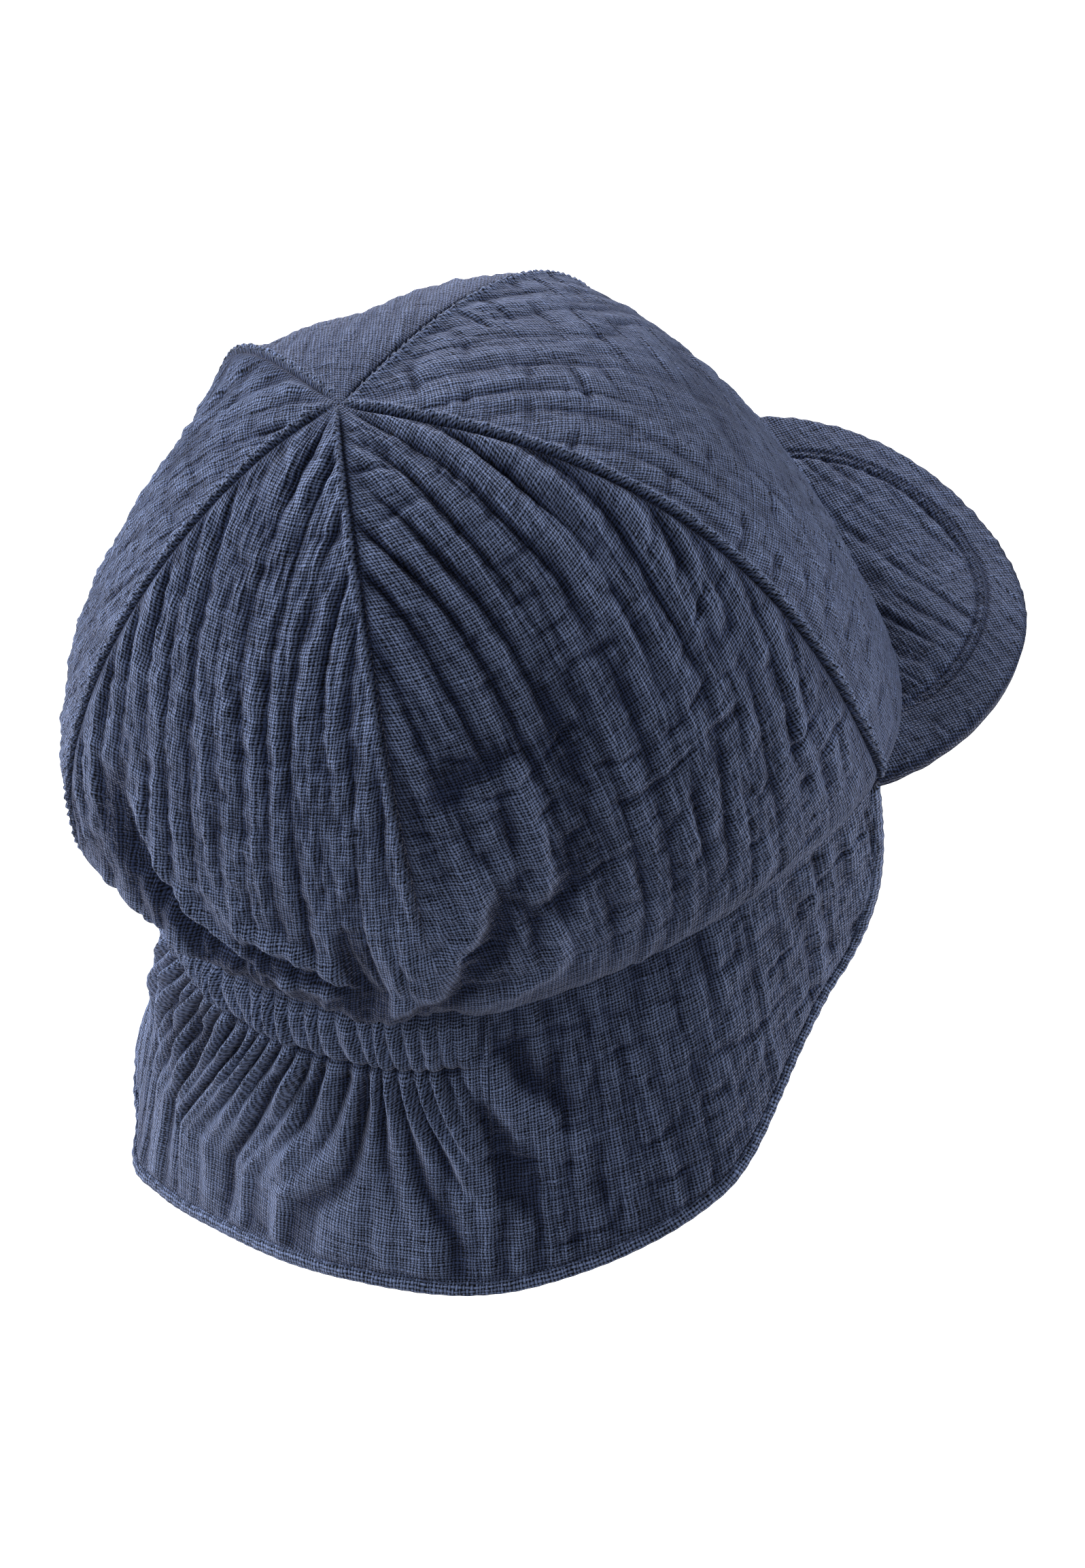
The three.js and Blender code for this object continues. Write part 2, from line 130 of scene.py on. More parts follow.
TUNNEL_START = 110
TUNNEL_HEIGHT = 13
TUNNEL_NOTCH = 0.4
GATHER_START = 6
FLAP_BENDS = 8
FLAP_SEAT = 1.2
FLAP_RADIUS = 80
FLAP_FRONT_DROP = 3
GAP = 0.3
HEM_WIDTH = 3.7
HEM_THICKNESS = 2.6
EDGE_STEPS = 400
FLAP_SECTIONS = named(
    ("azimuth", "flare_at_rim", "flare_at_hem"),
    (
        (42, 13, 7),
        (50, 7, 4),
        (62, 9, 10),
        (80, 23, 22),
        (105, 21, 22),
        (130, 12, 22),
        (155, 4, 16),
        (180, 4, 12),
    ),
)
FLAP_SWINGS = named(("azimuth", "spread", "turn"), ((148, 18, -2), (213, 20, -10.5)))
FLAP_EDGE = named(
    ("azimuth", "drop"),
    (
        (42.4, 0),
        (43.4, 12),
        (46, 26),
        (50, 36),
        (57, 42),
        (68, 51),
        (80, 60),
        (105, 66.5),
        (130, 66.5),
        (155, 75.5),
        (180, 83.5),
    ),
)

# Slack cloth, in this script alone: the elastic pulls it in beside the nape, it sinks there, and
# below it swells in or out

CINCH = 9.6
CINCH_AT = 202
CINCH_SPREAD = 27
CINCH_FADE = (8, 38)            # the pull fades out between these drops
SLUMP = 5.0
SLUMP_AT = 196
SLUMP_SPREAD = 34
SLUMP_LEVELS = (0.45, 0.95)     # the crown begins to sink at the first, and is all sunk at the second
FLAP_SWELLS = named(
    ("azimuth", "spread", "drop", "length", "push"),
    ((197, 16, 40, 19, -5.2), (186, 5, 82, 14, -1.8), (176.5, 4, 84, 12, 1.2)),
)

# Form of the peak, shared with the solids but for the gaps round it, which the cloth closes

PEAK_THICKNESS = 2.4
PEAK_CORNER = 41.9
PEAK_FORWARD = 56.4
PEAK_TIP_HEIGHT = 22.5
PEAK_ARCH = 2.2
PEAK_TIP_DIP = 2.3
STITCH_CORNER = 29
STITCH_FORWARD = 37
STITCH_NARROWING = -0.1
STITCH_RISE = 2
ROOT_TUCK = 0.8
BORDER_LAP = 0.9                # the border runs this far in under the field's edge
FIELD_CAMBER = 1.2

# Laps of the sewn pieces, so that no light shows through a seam

SEAM_LAP = 0.05                 # each gore past its seam
SEAM_LAP_MOST = 6               # and at most this many degrees, near the apex
RIM_LAP = 1.2                   # the tunnel and flap up into the crown's edge
HEM_LAP = 0.7                   # the flap into its hem, whose ends rise as far
TUNNEL_TUCK = 0.7               # the tunnel's ends in behind the flap, in degrees

# Steps of the fine meshes, and the lengths of cloth that they divide

CROWN_STEP = 0.6
FLAP_STEP = 0.68
STEEP_STEP = 0.34               # along the flap's steep front edges
STEEP_END = 48                  # which end at this azimuth
TUNNEL_STEP = 0.42
PEAK_STEP = 0.6
HEM_STEP = 0.7
HEM_SIDES = 15
LINING_STEP = 3                 # the lining face keeps every third place of the outer face
MIDDLE_PLACES = 3000            # the middle of a gore is measured over this many places
FLAP_LENGTH = 68
FIELD_LENGTHS = (118, 36)
BORDER_LENGTHS = (165, 17)

# Relief of the cloth. Noise is given by rows of sizes: how wide and long its swells are, and how
# high they stand.

# Ribs of each cloth: how far apart and high they are, the share of their height that is left
# further down, how they lean off the grain at the top and the bottom (a slope), how they spread
# away from the middle, how creased they are, and how rough and finely ribbed the cloth is
RIB_COLUMNS = (
    "pitch", "height", "low_share", "top_lean", "low_lean", "spread", "creases", "rough", "fine",
)
RIBS = {
    "right_side_gore": (7.2, 2.2, 0.5, -0.28, 0.35, 0.0, 0.95, 0.6, 1.0),
    "right_back_gore": (6.2, 1.5, 0.85, 0.0, -0.12, 0.0, 0.35, 0.8, 1.0),
    "left_back_gore": (6.0, 0.8, 0.9, 0.0, 0.12, 0.0, 0.4, 0.8, 1.0),
    "left_side_gore": (5.8, 0.45, 0.9, 0.28, -0.35, 0.0, 0.3, 0.3, 0.5),
    "front_gore": (6.2, 0.7, 0.6, 0.0, 0.0, 0.4, 0.9, 0.3, 0.25),
    "neck_flap": (6.6, 0.8, 1.0, 0.0, 0.0, 0.0, 0.8, 0.5, 1.0),
    "peak_field": (4.6, 0.5, 1.0, 0.0, 0.0, 0.0, 0.3, 0.4, 0.6),
    "peak_border": (4.0, 0.15, 1.0, 0.0, 0.0, 0.0, 0.15, 0.3, 0.5),
}
LEAN_LENGTH = 150               # the lean changes from top to bottom over this length of cloth
SPREAD_WIDTH = 20               # the ribs spread fully from this far off the middle
RIB_FADE = (45, 95)             # where down the cloth the ribs fade to their low share
RIB_SHARPNESS = 0.7
RIB_MEAN = 0.6                  # what is taken off a rib, so that half of it dips in
RIB_BENDS = ((60, 80, 4.5), (17, 34, 1.7), (6, 10, 0.45))
RIB_SPACING = ((2.2, 60, 0.5),)     # its width and height are in ribs
RIB_EVENNESS = 0.85
RIB_UNEVENNESS = ((12, 26, 1.4), (6, 12, 0.6))
RIB_LIMITS = (0.05, 1.7)
FINE_RIBS = ((2.5, 40, 0.62), (1.3, 15, 0.3))
ROUGHNESS = ((3.0, 5.5, 0.9), (1.6, 2.6, 0.5))

# Creases across the ribs: how far apart they are, how far each runs, and how deep it is
CREASES = ((9.5, 9, 0.85), (4.2, 5, 0.4), (2.1, 3, 0.14))
CREASE_WIDTH = 0.3
CREASE_MEAN = 0.3
CREASE_WANDER = ((2, 3, 0.8),)      # its sizes are in creases
CREASE_CLUSTERS = ((1, 1.4, 1.0),)
CREASE_LIMITS = (-0.12, 0.3)    # no crease below the first, and a whole one above the second

# What is added to a cloth's seed for each of its noises
BEND_SEED, EVEN_SEED, SPACING_SEED, FINE_SEED = 0, 5, 7, 10
WANDER_SEED, CLUSTER_SEED, ROUGH_SEED = 20, 30, 40

# Seeds of the single cloths and details
GORE_SEED, GORE_SEED_STEP, PUCKER_SEED, SWAY_SEED = 100, 50, 71, 81
GATHER_SEED, RUFFLE_SEED, MERGE_SEED = 401, 403, 404
HEM_SEED, TWIST_SEED, FLAP_SEED = 501, 503, 700
FIELD_SEED, FIELD_PUCKER_SEED, BORDER_SEED, SCALLOP_SEED = 1100, 1150, 1200, 1250


# Tables, curves and noise


def sample(table, place, column, starts_level=True):
    """A smooth curve through a table's rows, level at its last row, and at its first if asked."""
    keys = next(iter(table.values()))
    values = table[column]
    slopes = np.zeros(len(keys))
    slopes[1:-1] = (values[2:] - values[:-2]) / (keys[2:] - keys[:-2])
    if not starts_level:
        slopes[0] = (values[1] - values[0]) / (keys[1] - keys[0])
    i = np.clip(np.searchsorted(keys, place, side="left") - 1, 0, len(keys) - 2)
    step = keys[i + 1] - keys[i]
    t = np.clip((place - keys[i]) / step, 0, 1)
    t2, t3 = t * t, t * t * t
    return (
        (2 * t3 - 3 * t2 + 1) * values[i] + (t3 - 2 * t2 + t) * step * slopes[i]
        + (3 * t2 - 2 * t3) * values[i + 1] + (t3 - t2) * step * slopes[i + 1]
    )


def smoothstep(value, low, high):
    t = np.clip((value - low) / (high - low), 0, 1)
    return t * t * (3 - 2 * t)


def bump(distance, spread):
    return np.exp(-((distance / spread) ** 2))


def noise(x, y, seed):
    """Smooth seeded noise over two coordinates, between about -0.7 and 0.7."""
    rng = np.random.default_rng(seed)
    order = rng.permutation(1024)
    turns = rng.uniform(0, 2 * math.pi, 1024)
    slopes = np.stack([np.cos(turns), np.sin(turns)], axis=-1)
    left = np.floor(x).astype(int)
    low = np.floor(y).astype(int)
    dx, dy = x - left, y - low

    def corner(i, j):
        slope = slopes[order[(order[(left + i) % 1024] + low + j) % 1024]]
        return slope[..., 0] * (dx - i) + slope[..., 1] * (dy - j)

    sx, sy = (d * d * d * (d * (d * 6 - 15) + 10) for d in (dx, dy))
    near = corner(0, 0) * (1 - sx) + corner(1, 0) * sx
    far = corner(0, 1) * (1 - sx) + corner(1, 1) * sx
    return near * (1 - sy) + far * sy


def creased(value):
    """Turns smooth noise into rounded crests between sharp valleys, from 0 to about 1."""
    return np.minimum(np.abs(value) / 0.5, 1.2) ** RIB_SHARPNESS


def ridged(value):
    """The same, but from about -0.5 to 0.5."""
    return creased(value) - 0.5


def swells(sizes, across, along, seed, shape=None):
    """Noise in each of the given sizes, added up."""
    total = 0
    for n, (width, length, height) in enumerate(sizes):
        value = noise(across / width, along / length, seed + n)
        total = total + height * (shape(value) if shape else value)
    return total


def crinkle(cloth, across, along, seed):
    """The muslin's own relief: lengthwise ribs in three sizes, and short creases across them."""
    ribs = dict(zip(RIB_COLUMNS, RIBS[cloth]))
    turning = (ribs["low_lean"] - ribs["top_lean"]) * along ** 2 / 2 / LEAN_LENGTH
    spread = np.clip(across / SPREAD_WIDTH, -1, 1) * ribs["spread"] * along ** 2 / LEAN_LENGTH
    bend = swells(RIB_BENDS, across, along, seed + BEND_SEED)
    run = across - ribs["top_lean"] * along - turning - spread + bend
    turns = run / ribs["pitch"]
    phase = turns + swells(RIB_SPACING, turns, along, seed + SPACING_SEED)
    uneven = RIB_EVENNESS + swells(RIB_UNEVENNESS, run, along, seed + EVEN_SEED)
    share = 1 - (1 - ribs["low_share"]) * smoothstep(along, *RIB_FADE)
    crests = np.abs(np.sin(math.pi * phase)) ** RIB_SHARPNESS - RIB_MEAN
    relief = ribs["height"] * share * np.clip(uneven, *RIB_LIMITS) * crests
    relief = relief + ribs["rough"] * swells(ROUGHNESS, across, along, seed + ROUGH_SEED)
    relief = relief + ribs["fine"] * swells(FINE_RIBS, run, along, seed + FINE_SEED, ridged)
    for n, (pitch, length, depth) in enumerate(CREASES):
        place = run / length, along / pitch
        wander = swells(CREASE_WANDER, *place, seed + WANDER_SEED + n)
        folds = np.abs(np.sin(math.pi * (place[1] + wander)))
        where = smoothstep(swells(CREASE_CLUSTERS, *place, seed + CLUSTER_SEED + n), *CREASE_LIMITS)
        relief = relief - ribs["creases"] * depth * where * (bump(folds, CREASE_WIDTH) - CREASE_MEAN)
    return relief


# Form of the crown


def folded(azimuth):
    """The same azimuth on the wearer's right, because the tables hold one side."""
    turn = np.mod(azimuth, 360)
    return np.where(turn > 180, 360 - turn, turn)


def section(azimuth, column):
    return sample(CROWN_SECTIONS, folded(azimuth), column)


def at_azimuth(azimuth, radius, height):
    angle = np.radians(azimuth)
    place = np.broadcast_arrays(-radius * np.sin(angle), -radius * np.cos(angle), height)
    return np.stack(place, axis=-1)


def seam_swing(gore, level):
    """The azimuth of a gore angle at a level, so that the seams end at their places on the rim."""
    first, second = math.radians(GORE_HALF_ANGLE), math.radians(3 * GORE_HALF_ANGLE)
    front_turn, side_turn = FRONT_SEAM - GORE_HALF_ANGLE, SIDE_SEAM - 3 * GORE_HALF_ANGLE
    scale = math.sin(first) * math.sin(2 * second) - math.sin(2 * first) * math.sin(second)
    once = (front_turn * math.sin(2 * second) - side_turn * math.sin(2 * first)) / scale
    twice = (side_turn * math.sin(first) - front_turn * math.sin(second)) / scale
    angle = np.radians(gore)
    share = smoothstep(level, 0, BULGE_LEVEL)
    return gore + share * (once * np.sin(angle) + twice * np.sin(2 * angle))


def angle_from_middle(gore):
    return np.mod(gore + GORE_HALF_ANGLE, 2 * GORE_HALF_ANGLE) - GORE_HALF_ANGLE


def crown_form(gore, level):
    """The smooth outer face of the crown, at a gore angle and a level from apex to rim."""
    azimuth = seam_swing(gore, level)
    rim_radius, rim_height = section(azimuth, "rim_radius"), section(azimuth, "rim_height")
    bulge_radius, bulge_height = section(azimuth, "bulge_radius"), section(azimuth, "bulge_height")
    power = 2 / section(azimuth, "fullness")
    turn = np.clip(level / BULGE_LEVEL, 0, 1) * math.pi / 2
    rise = np.maximum(0, np.cos(turn)) ** power
    under = np.clip((level - BULGE_LEVEL) / (1 - BULGE_LEVEL), 0, 1) * math.pi / 2
    above = level <= BULGE_LEVEL
    radius = np.where(
        above,
        bulge_radius * np.sin(turn) ** power,
        rim_radius + (bulge_radius - rim_radius) * np.cos(under),
    )
    height = np.where(
        above,
        bulge_height + (APEX_HEIGHT - bulge_height) * rise,
        bulge_height - (bulge_height - rim_height) * np.sin(under),
    )
    off_middle = np.radians(angle_from_middle(gore))
    flat = 1 - math.cos(math.radians(GORE_HALF_ANGLE)) / np.cos(off_middle)
    radius = radius * (1 - FLAT_PANELS * flat * np.maximum(0, 1 - level / ROUND_LEVEL))
    point = at_azimuth(azimuth, radius, height)
    point[..., 1] += np.where(above, APEX_BACK * rise, 0)
    return point, azimuth


def unit(vectors):
    return vectors / np.maximum(np.linalg.norm(vectors, axis=-1, keepdims=True), 1e-9)


def cinched(azimuth):
    """How far the elastic pulls the rim in, mostly beside the nape."""
    return CINCH * bump(np.mod(azimuth, 360) - CINCH_AT, CINCH_SPREAD)


def slumped(azimuth):
    """How far the slack cloth round the nape sinks."""
    return SLUMP * bump(np.mod(azimuth, 360) - SLUMP_AT, SLUMP_SPREAD)


def crown_place(gore, level):
    """The crown's outer face with its large dents, the way out of it, and its azimuth."""
    point, azimuth = crown_form(gore, level)
    pulled = cinched(azimuth) * smoothstep(level, BULGE_LEVEL, 1)
    point = point - at_azimuth(azimuth, pulled, slumped(azimuth) * smoothstep(level, *SLUMP_LEVELS))
    across = crown_form(gore + NORMAL_SPREAD, level)[0] - crown_form(gore - NORMAL_SPREAD, level)[0]
    step = np.minimum(NORMAL_STEP, level)
    down = crown_form(gore, level + step)[0] - crown_form(gore, level - step)[0]
    outward = unit(np.cross(across, down))
    open_ends = np.minimum(1, level / DENT_FADE_TOP) * np.clip((1 - level) / DENT_FADE_RIM, 0, 1)
    push = 0
    for dent in rows_of(CROWN_DENTS):
        aside = bump(np.mod(gore - dent["gore"] + 180, 360) - 180, dent["gore_spread"])
        push = push + dent["push"] * aside * bump(level - dent["level"], dent["level_spread"])
    return point + outward * (push * open_ends)[..., None], outward, azimuth


def apex_level(azimuth):
    """The level at which the crown is as wide as the small hole at its apex."""
    share = APEX_RADIUS / section(azimuth, "bulge_radius")
    return BULGE_LEVEL * np.arcsin(share ** (section(azimuth, "fullness") / 2)) / (math.pi / 2)


def lengths(points, axis):
    """The length of cloth run through along one axis of a grid, from 0 at its start."""
    steps = np.linalg.norm(np.diff(points, axis=axis), axis=-1)
    pad = [(1, 0) if axis == n else (0, 0) for n in range(2)]
    return np.pad(np.cumsum(steps, axis=axis), pad)


def in_steps(length, step):
    """A count of steps for a length, in whole steps of the lining."""
    return LINING_STEP * max(1, round(length / step / LINING_STEP))


def gore_rows(middle):
    """Shares of the way from apex to rim, for rows evenly spaced down a gore's middle."""
    share = np.linspace(0, 1, MIDDLE_PLACES) ** 2
    top = apex_level(middle)
    column = crown_form(np.full(share.shape, float(middle)), top + (1 - top) * share)[0]
    run = lengths(column[None], 1)[0]
    return np.interp(np.linspace(0, run[-1], in_steps(run[-1], CROWN_STEP) + 1), run, share)


# Cloth walls


def placed(name, data):
    """A new object in the scene."""
    obj = bpy.data.objects.new(name, data)
    bpy.context.scene.collection.objects.link(obj)
    return obj


def quads(index):
    """The faces of a grid of vertices."""
    corners = (index[:-1, :-1], index[1:, :-1], index[1:, 1:], index[:-1, 1:])
    return np.stack(corners, axis=-1).reshape(-1, 4)


def smooth_mesh(name, points, faces, flat, crest, flat_faces=None):
    """A smooth-shaded mesh object in metres, with its flat cloth coordinates and crest values."""
    corners = np.concatenate([block.ravel() for block in faces])
    flat_corners = np.concatenate([block.ravel() for block in flat_faces or faces])
    sizes = np.concatenate([np.full(len(block), block.shape[1]) for block in faces])
    starts = np.concatenate([[0], np.cumsum(sizes)[:-1]])
    mesh = bpy.data.meshes.new(name)
    mesh.vertices.add(len(points))
    mesh.vertices.foreach_set("co", (points * MM).astype(np.float32).ravel())
    mesh.loops.add(len(corners))
    mesh.loops.foreach_set("vertex_index", corners.astype(np.int32))
    mesh.polygons.add(len(sizes))
    mesh.polygons.foreach_set("loop_start", starts.astype(np.int32))
    mesh.update(calc_edges=True)
    mesh.validate()
    mesh.shade_smooth()
    layer = mesh.uv_layers.new(name="flat_cloth")
    layer.data.foreach_set("uv", (flat[flat_corners] * MM).astype(np.float32).ravel())
    attribute = mesh.attributes.new("crest", "FLOAT", "POINT")
    attribute.data.foreach_set("value", crest.astype(np.float32))
    return placed(name, mesh)


def lining_depth(relief, thickness):
    """How deep the lining face lies: a thickness behind the lowest relief around each place."""
    reach = LINING_STEP - 1
    window = (2 * reach + 1, 2 * reach + 1)
    padded = np.pad(relief, reach, mode="edge")
    lowest = np.lib.stride_tricks.sliding_window_view(padded, window).min(axis=(2, 3))
    return lowest[::LINING_STEP, ::LINING_STEP] - thickness


# The crest value paints the relief's shade into the cloth's colour: darker in valleys as painted
# shade, paler on crests partly as painted light and partly as wear.
CREST_MIDDLE = 0.5              # the crest value of cloth that neither stands out nor dips in
CREST_RANGE = 2.6               # millimetres of relief from the value 0 to 1


def cloth_wall(name, place, outward, relief, flat, thickness=CLOTH):
    """A closed wall of cloth: a fine outer face and a coarser lining face, joined at the edges."""
    every = np.s_[::LINING_STEP, ::LINING_STEP]
    outer = place + outward * relief[..., None]
    inner = place[every] + outward[every] * lining_depth(relief, thickness)[..., None]
    # Crest values, for painted shade in the valleys and paler colour on the crests.
    crest = np.clip(CREST_MIDDLE + relief / CREST_RANGE, 0, 1)
    front = np.arange(relief.size).reshape(relief.shape)
    behind = front.size + np.arange(inner[..., 0].size).reshape(inner.shape[:2])

    def strip(fine, coarse, forwards):
        """Faces between a fine edge and a coarse one, seen with the fine edge running forwards."""
        run = [fine[n:len(fine) - LINING_STEP + n:LINING_STEP] for n in range(LINING_STEP + 1)]
        ring = run + [coarse[1:], coarse[:-1]]
        return np.stack(ring if forwards else ring[::-1], axis=-1)

    faces = [quads(front), quads(behind)[:, [0, 3, 2, 1]]]
    flat_faces = list(faces)
    flats = [flat.reshape(-1, 2), flat[every].reshape(-1, 2)]
    sides = (
        (np.s_[:, 0], np.s_[:, 1], False),
        (np.s_[:, -1], np.s_[:, -2], True),
        (np.s_[0], np.s_[1], True),
        (np.s_[-1], np.s_[-2], False),
    )
    for side, beside, forwards in sides:
        carried_on = flat[side] + unit(flat[side] - flat[beside]) * thickness
        first = sum(len(block) for block in flats)
        flats.append(carried_on[::LINING_STEP])
        faces.append(strip(front[side], behind[side], forwards))
        flat_faces.append(strip(front[side], first + np.arange(len(flats[-1])), forwards))
    points = np.concatenate([outer.reshape(-1, 3), inner.reshape(-1, 3)])
    crests = np.concatenate([crest.ravel(), crest[every].ravel()])
    return smooth_mesh(name, points, faces, np.concatenate(flats), crests, flat_faces)


def flat_area(points):
    """The area of a grid of places, in square metres."""
    across = points[1:, :-1] - points[:-1, :-1]
    down = points[:-1, 1:] - points[:-1, :-1]
    return float(np.linalg.norm(np.cross(across, down), axis=-1).sum()) * MM * MM


# Folds and gathers

# Folds of the crown: how wide each is, how far it is pushed out, and its path in gore angle and level
CROWN_FOLDS = (
    (4.6, -6.5, ((168, 0.60), (161, 0.69), (154, 0.735), (147, 0.775), (141, 0.79))),
    (2.6, 2.6, ((164, 0.59), (156, 0.67), (150, 0.71), (145, 0.75), (139, 0.79), (128, 0.77))),
    (2.4, 2.0, ((146, 0.65), (142, 0.69), (134, 0.695), (126, 0.715), (121, 0.76))),
    (2.0, -1.6, ((143, 0.725), (137, 0.74), (129, 0.745), (124, 0.755))),
    (3.4, 2.0, ((176, 0.78), (168, 0.80), (158, 0.82), (149, 0.84))),
    (3.0, -2.4, ((122, 0.66), (121, 0.76), (122, 0.86))),
    (6.5, 2.0, ((111, 0.62), (113, 0.70), (115.5, 0.78))),
    (2.2, 1.3, ((97.4, 0.58), (97.9, 0.62), (99.8, 0.645), (104.1, 0.672), (115.3, 0.78))),
    (2.8, -1.9, ((94.3, 0.60), (94.8, 0.645), (97.5, 0.675), (103, 0.71), (113, 0.81))),
    (1.3, -0.8, ((104, 0.65), (107, 0.663), (110, 0.66))),
    (1.3, -0.8, ((118, 0.70), (113.7, 0.688), (111, 0.71))),
    (2.0, -1.3, ((97, 0.574), (95.6, 0.58), (94, 0.586))),
    (2.2, 0.9, ((95.6, 0.598), (91.5, 0.60), (86.9, 0.60))),
    (2.4, 1.2, ((84.8, 0.49), (84.8, 0.55), (85.2, 0.59), (86.7, 0.635), (91, 0.648))),
    (2.6, -1.3, ((82, 0.50), (82.2, 0.59), (83.6, 0.65), (86.5, 0.667), (91, 0.67))),
    (3.4, 1.3, ((86, 0.69), (89.3, 0.725), (93.5, 0.77), (100.9, 0.80))),
    (2.8, -1.3, ((104, 0.50), (98, 0.49), (90, 0.485), (81, 0.49))),
    (2.0, 0.6, ((98, 0.515), (90, 0.508), (83.5, 0.512))),
    (2.6, -1.4, ((75.7, 0.42), (75.5, 0.48), (75.2, 0.54))),
    (4.0, 1.3, ((97, 0.58), (101, 0.62), (105, 0.66))),
)
CROWN_FOLD_SCALE = (1.25, 150)  # millimetres of cloth for a degree, and from level 0 to 1

# Large folds of the flap, with their paths in azimuth and drop
FLAP_FOLDS = (
    (5.0, 2.4, ((118.7, 13), (115.5, 19), (112.8, 28), (111, 44))),
    (3.5, -2.6, ((116, 13), (111.5, 22), (108.5, 31), (106, 46))),
    (5.0, 2.2, ((112.2, 12), (107.4, 22), (102, 31))),
    (4.0, -1.8, ((108, 8), (103, 19), (98, 27))),
    (3.0, 1.6, ((123.7, 14.5), (121.4, 20), (119.8, 30))),
    (3.0, 1.5, ((133.6, 14.2), (135.6, 30))),
    (6.0, 1.8, ((142.3, 20), (145.9, 56))),
    (6.0, 1.8, ((151.7, 20), (158, 44), (165.8, 68))),
)
FLAP_FOLD_SCALE = (1.4, 1)
FOLD_ENDS = 0.12                # how far up its taper a fold begins and ends

# Gathers round the nape, which fan out below the elastic either side of a middle azimuth
GATHERS = 50
GATHER_WANDER = ((9, 45, 0.8), (5, 24, 0.22))
RUFFLE_LEAN = 0.85
LEAN_MIDDLE = 190               # the ruffles lean the other way past this azimuth
LEAN_SPREAD = 20
FAN = 0.34                      # degrees that a gather moves aside for each millimetre down
FAN_MIDDLE = 128
FAN_SPREAD = 14
FAN_LENGTH = 40
FAN_BACK = 205                  # behind the wearer's left the gathers of both sides meet
FAN_FADE = 42
GATHER_EVENNESS = 0.9
GATHER_UNEVENNESS = ((4.5, 30, 0.8),)
GATHER_ROUNDNESS = (0.8, 1.3)   # the power that rounds them in the tunnel, and below it
ROUND_LENGTHS = (-1, 5)         # it changes between these lengths below the tunnel
MERGE_LENGTHS = (6, 46)         # and between these they merge two by two
MERGE_SHARES = (0.6, 0.8)       # how much of each is lost, and how high the merged ones stand
MERGE_WANDER = ((8, 60, 0.22),)
MERGE_ROUNDNESS = 1.2


def fold_relief(folds, first, second, scale):
    """The push of folds over a grid of two coordinates, the first of them an angle in degrees."""
    relief = np.zeros_like(first)
    for width, push, path in folds:
        path = np.array(path, float)
        nearest = np.full(first.shape, np.inf)
        where = np.zeros_like(first)
        runs = len(path) - 1
        for n in range(runs):
            ax = (np.mod(first - path[n, 0] + 180, 360) - 180) * scale[0]
            ay = (second - path[n, 1]) * scale[1]
            bx, by = (path[n + 1] - path[n]) * scale
            t = np.clip((ax * bx + ay * by) / (bx * bx + by * by), 0, 1)
            away = np.hypot(ax - t * bx, ay - t * by)
            where = np.where(away < nearest, (n + t) / runs, where)
            nearest = np.minimum(away, nearest)
        taper = np.sin(math.pi * (FOLD_ENDS + (1 - 2 * FOLD_ENDS) * where))
        relief = relief + push * taper * bump(nearest, width)
    return relief


def gathered(azimuth):
    """1 over the gathered stretch round the nape, and 0 in front of its ends."""
    return smoothstep(folded(azimuth), TUNNEL_START, TUNNEL_START + GATHER_START)


def fanned(azimuth, below):
    """The azimuth at which a gather starts, because the gathers fan out below the elastic."""
    left = np.mod(azimuth, 360) > FAN_BACK
    side = np.where(left, 360 - azimuth, azimuth)
    spread = FAN * np.tanh((side - FAN_MIDDLE) / FAN_SPREAD)
    spread = spread * smoothstep(np.abs(azimuth - FAN_BACK), 0, FAN_FADE)
    return azimuth - np.where(left, -spread, spread) * np.minimum(below, FAN_LENGTH)


def gather_phase(azimuth, drop):
    """Counts the gathers round the nape. They lean down the tunnel and wander a little."""
    pitch = (360 - 2 * TUNNEL_START) / GATHERS
    inside = np.clip(drop / TUNNEL_HEIGHT, 0, 1)
    lean = RUFFLE_LEAN * inside * np.clip((LEAN_MIDDLE - azimuth) / LEAN_SPREAD, -1, 1)
    start = fanned(azimuth, np.maximum(0, drop - TUNNEL_HEIGHT))
    return (start - TUNNEL_START) / pitch + lean + swells(GATHER_WANDER, start, drop, GATHER_SEED)


def gather_relief(azimuth, drop):
    """Ruffles between 0 and 1, of uneven height, which merge two by two below the tunnel."""
    height = GATHER_EVENNESS + swells(GATHER_UNEVENNESS, azimuth, drop, RUFFLE_SEED)
    phase = gather_phase(azimuth, drop)
    below = drop - TUNNEL_HEIGHT
    first, last = GATHER_ROUNDNESS
    power = first + (last - first) * smoothstep(below, *ROUND_LENGTHS)
    each = np.abs(np.sin(math.pi * phase)) ** power
    paired = phase / 2 + swells(MERGE_WANDER, azimuth, drop, MERGE_SEED)
    merged = np.abs(np.sin(math.pi * paired)) ** MERGE_ROUNDNESS
    share = smoothstep(below, *MERGE_LENGTHS)
    lost, gained = MERGE_SHARES
    return (each * (1 - lost * share) + merged * gained * share) * height


# Crown pieces

# Beside each seam: the side that stands up as a folded edge, how deep the other side dips, and the
# level at which the billowing cloth swallows the seam
SEAMS = named(
    ("gore", "raised_side", "raise", "dip", "dip_spread", "end"),
    (
        (36, -1, 0.9, 0.45, 2.2, 0.98),
        (108, 1, 0.65, 0.25, 2.2, 0.66),
        (180, 1, 0.65, 0.25, 2.2, 0.84),
        (252, 1, 0.65, 0.3, 2.2, 0.84),
        (324, 1, 0.7, 0.35, 2.2, 0.98),
    ),
)
SEAM_GROOVE = 0.6
SEAM_GROOVE_SPREAD = 0.6
SEAM_RAISE_AT = 1.5
SEAM_RAISE_SPREAD = 0.9
SEAM_PULL = 0.35                # how far each stitch pulls the folded edge in
SEAM_STITCH = 2.7               # length of a stitch, and of the scallop it leaves
SEAM_STITCH_WANDER = ((9, 1, 4),)
SEAM_END_FADE = 0.06            # the levels over which a seam fades out
SEAM_CALM = 2.2                 # the ribs fade this near a seam
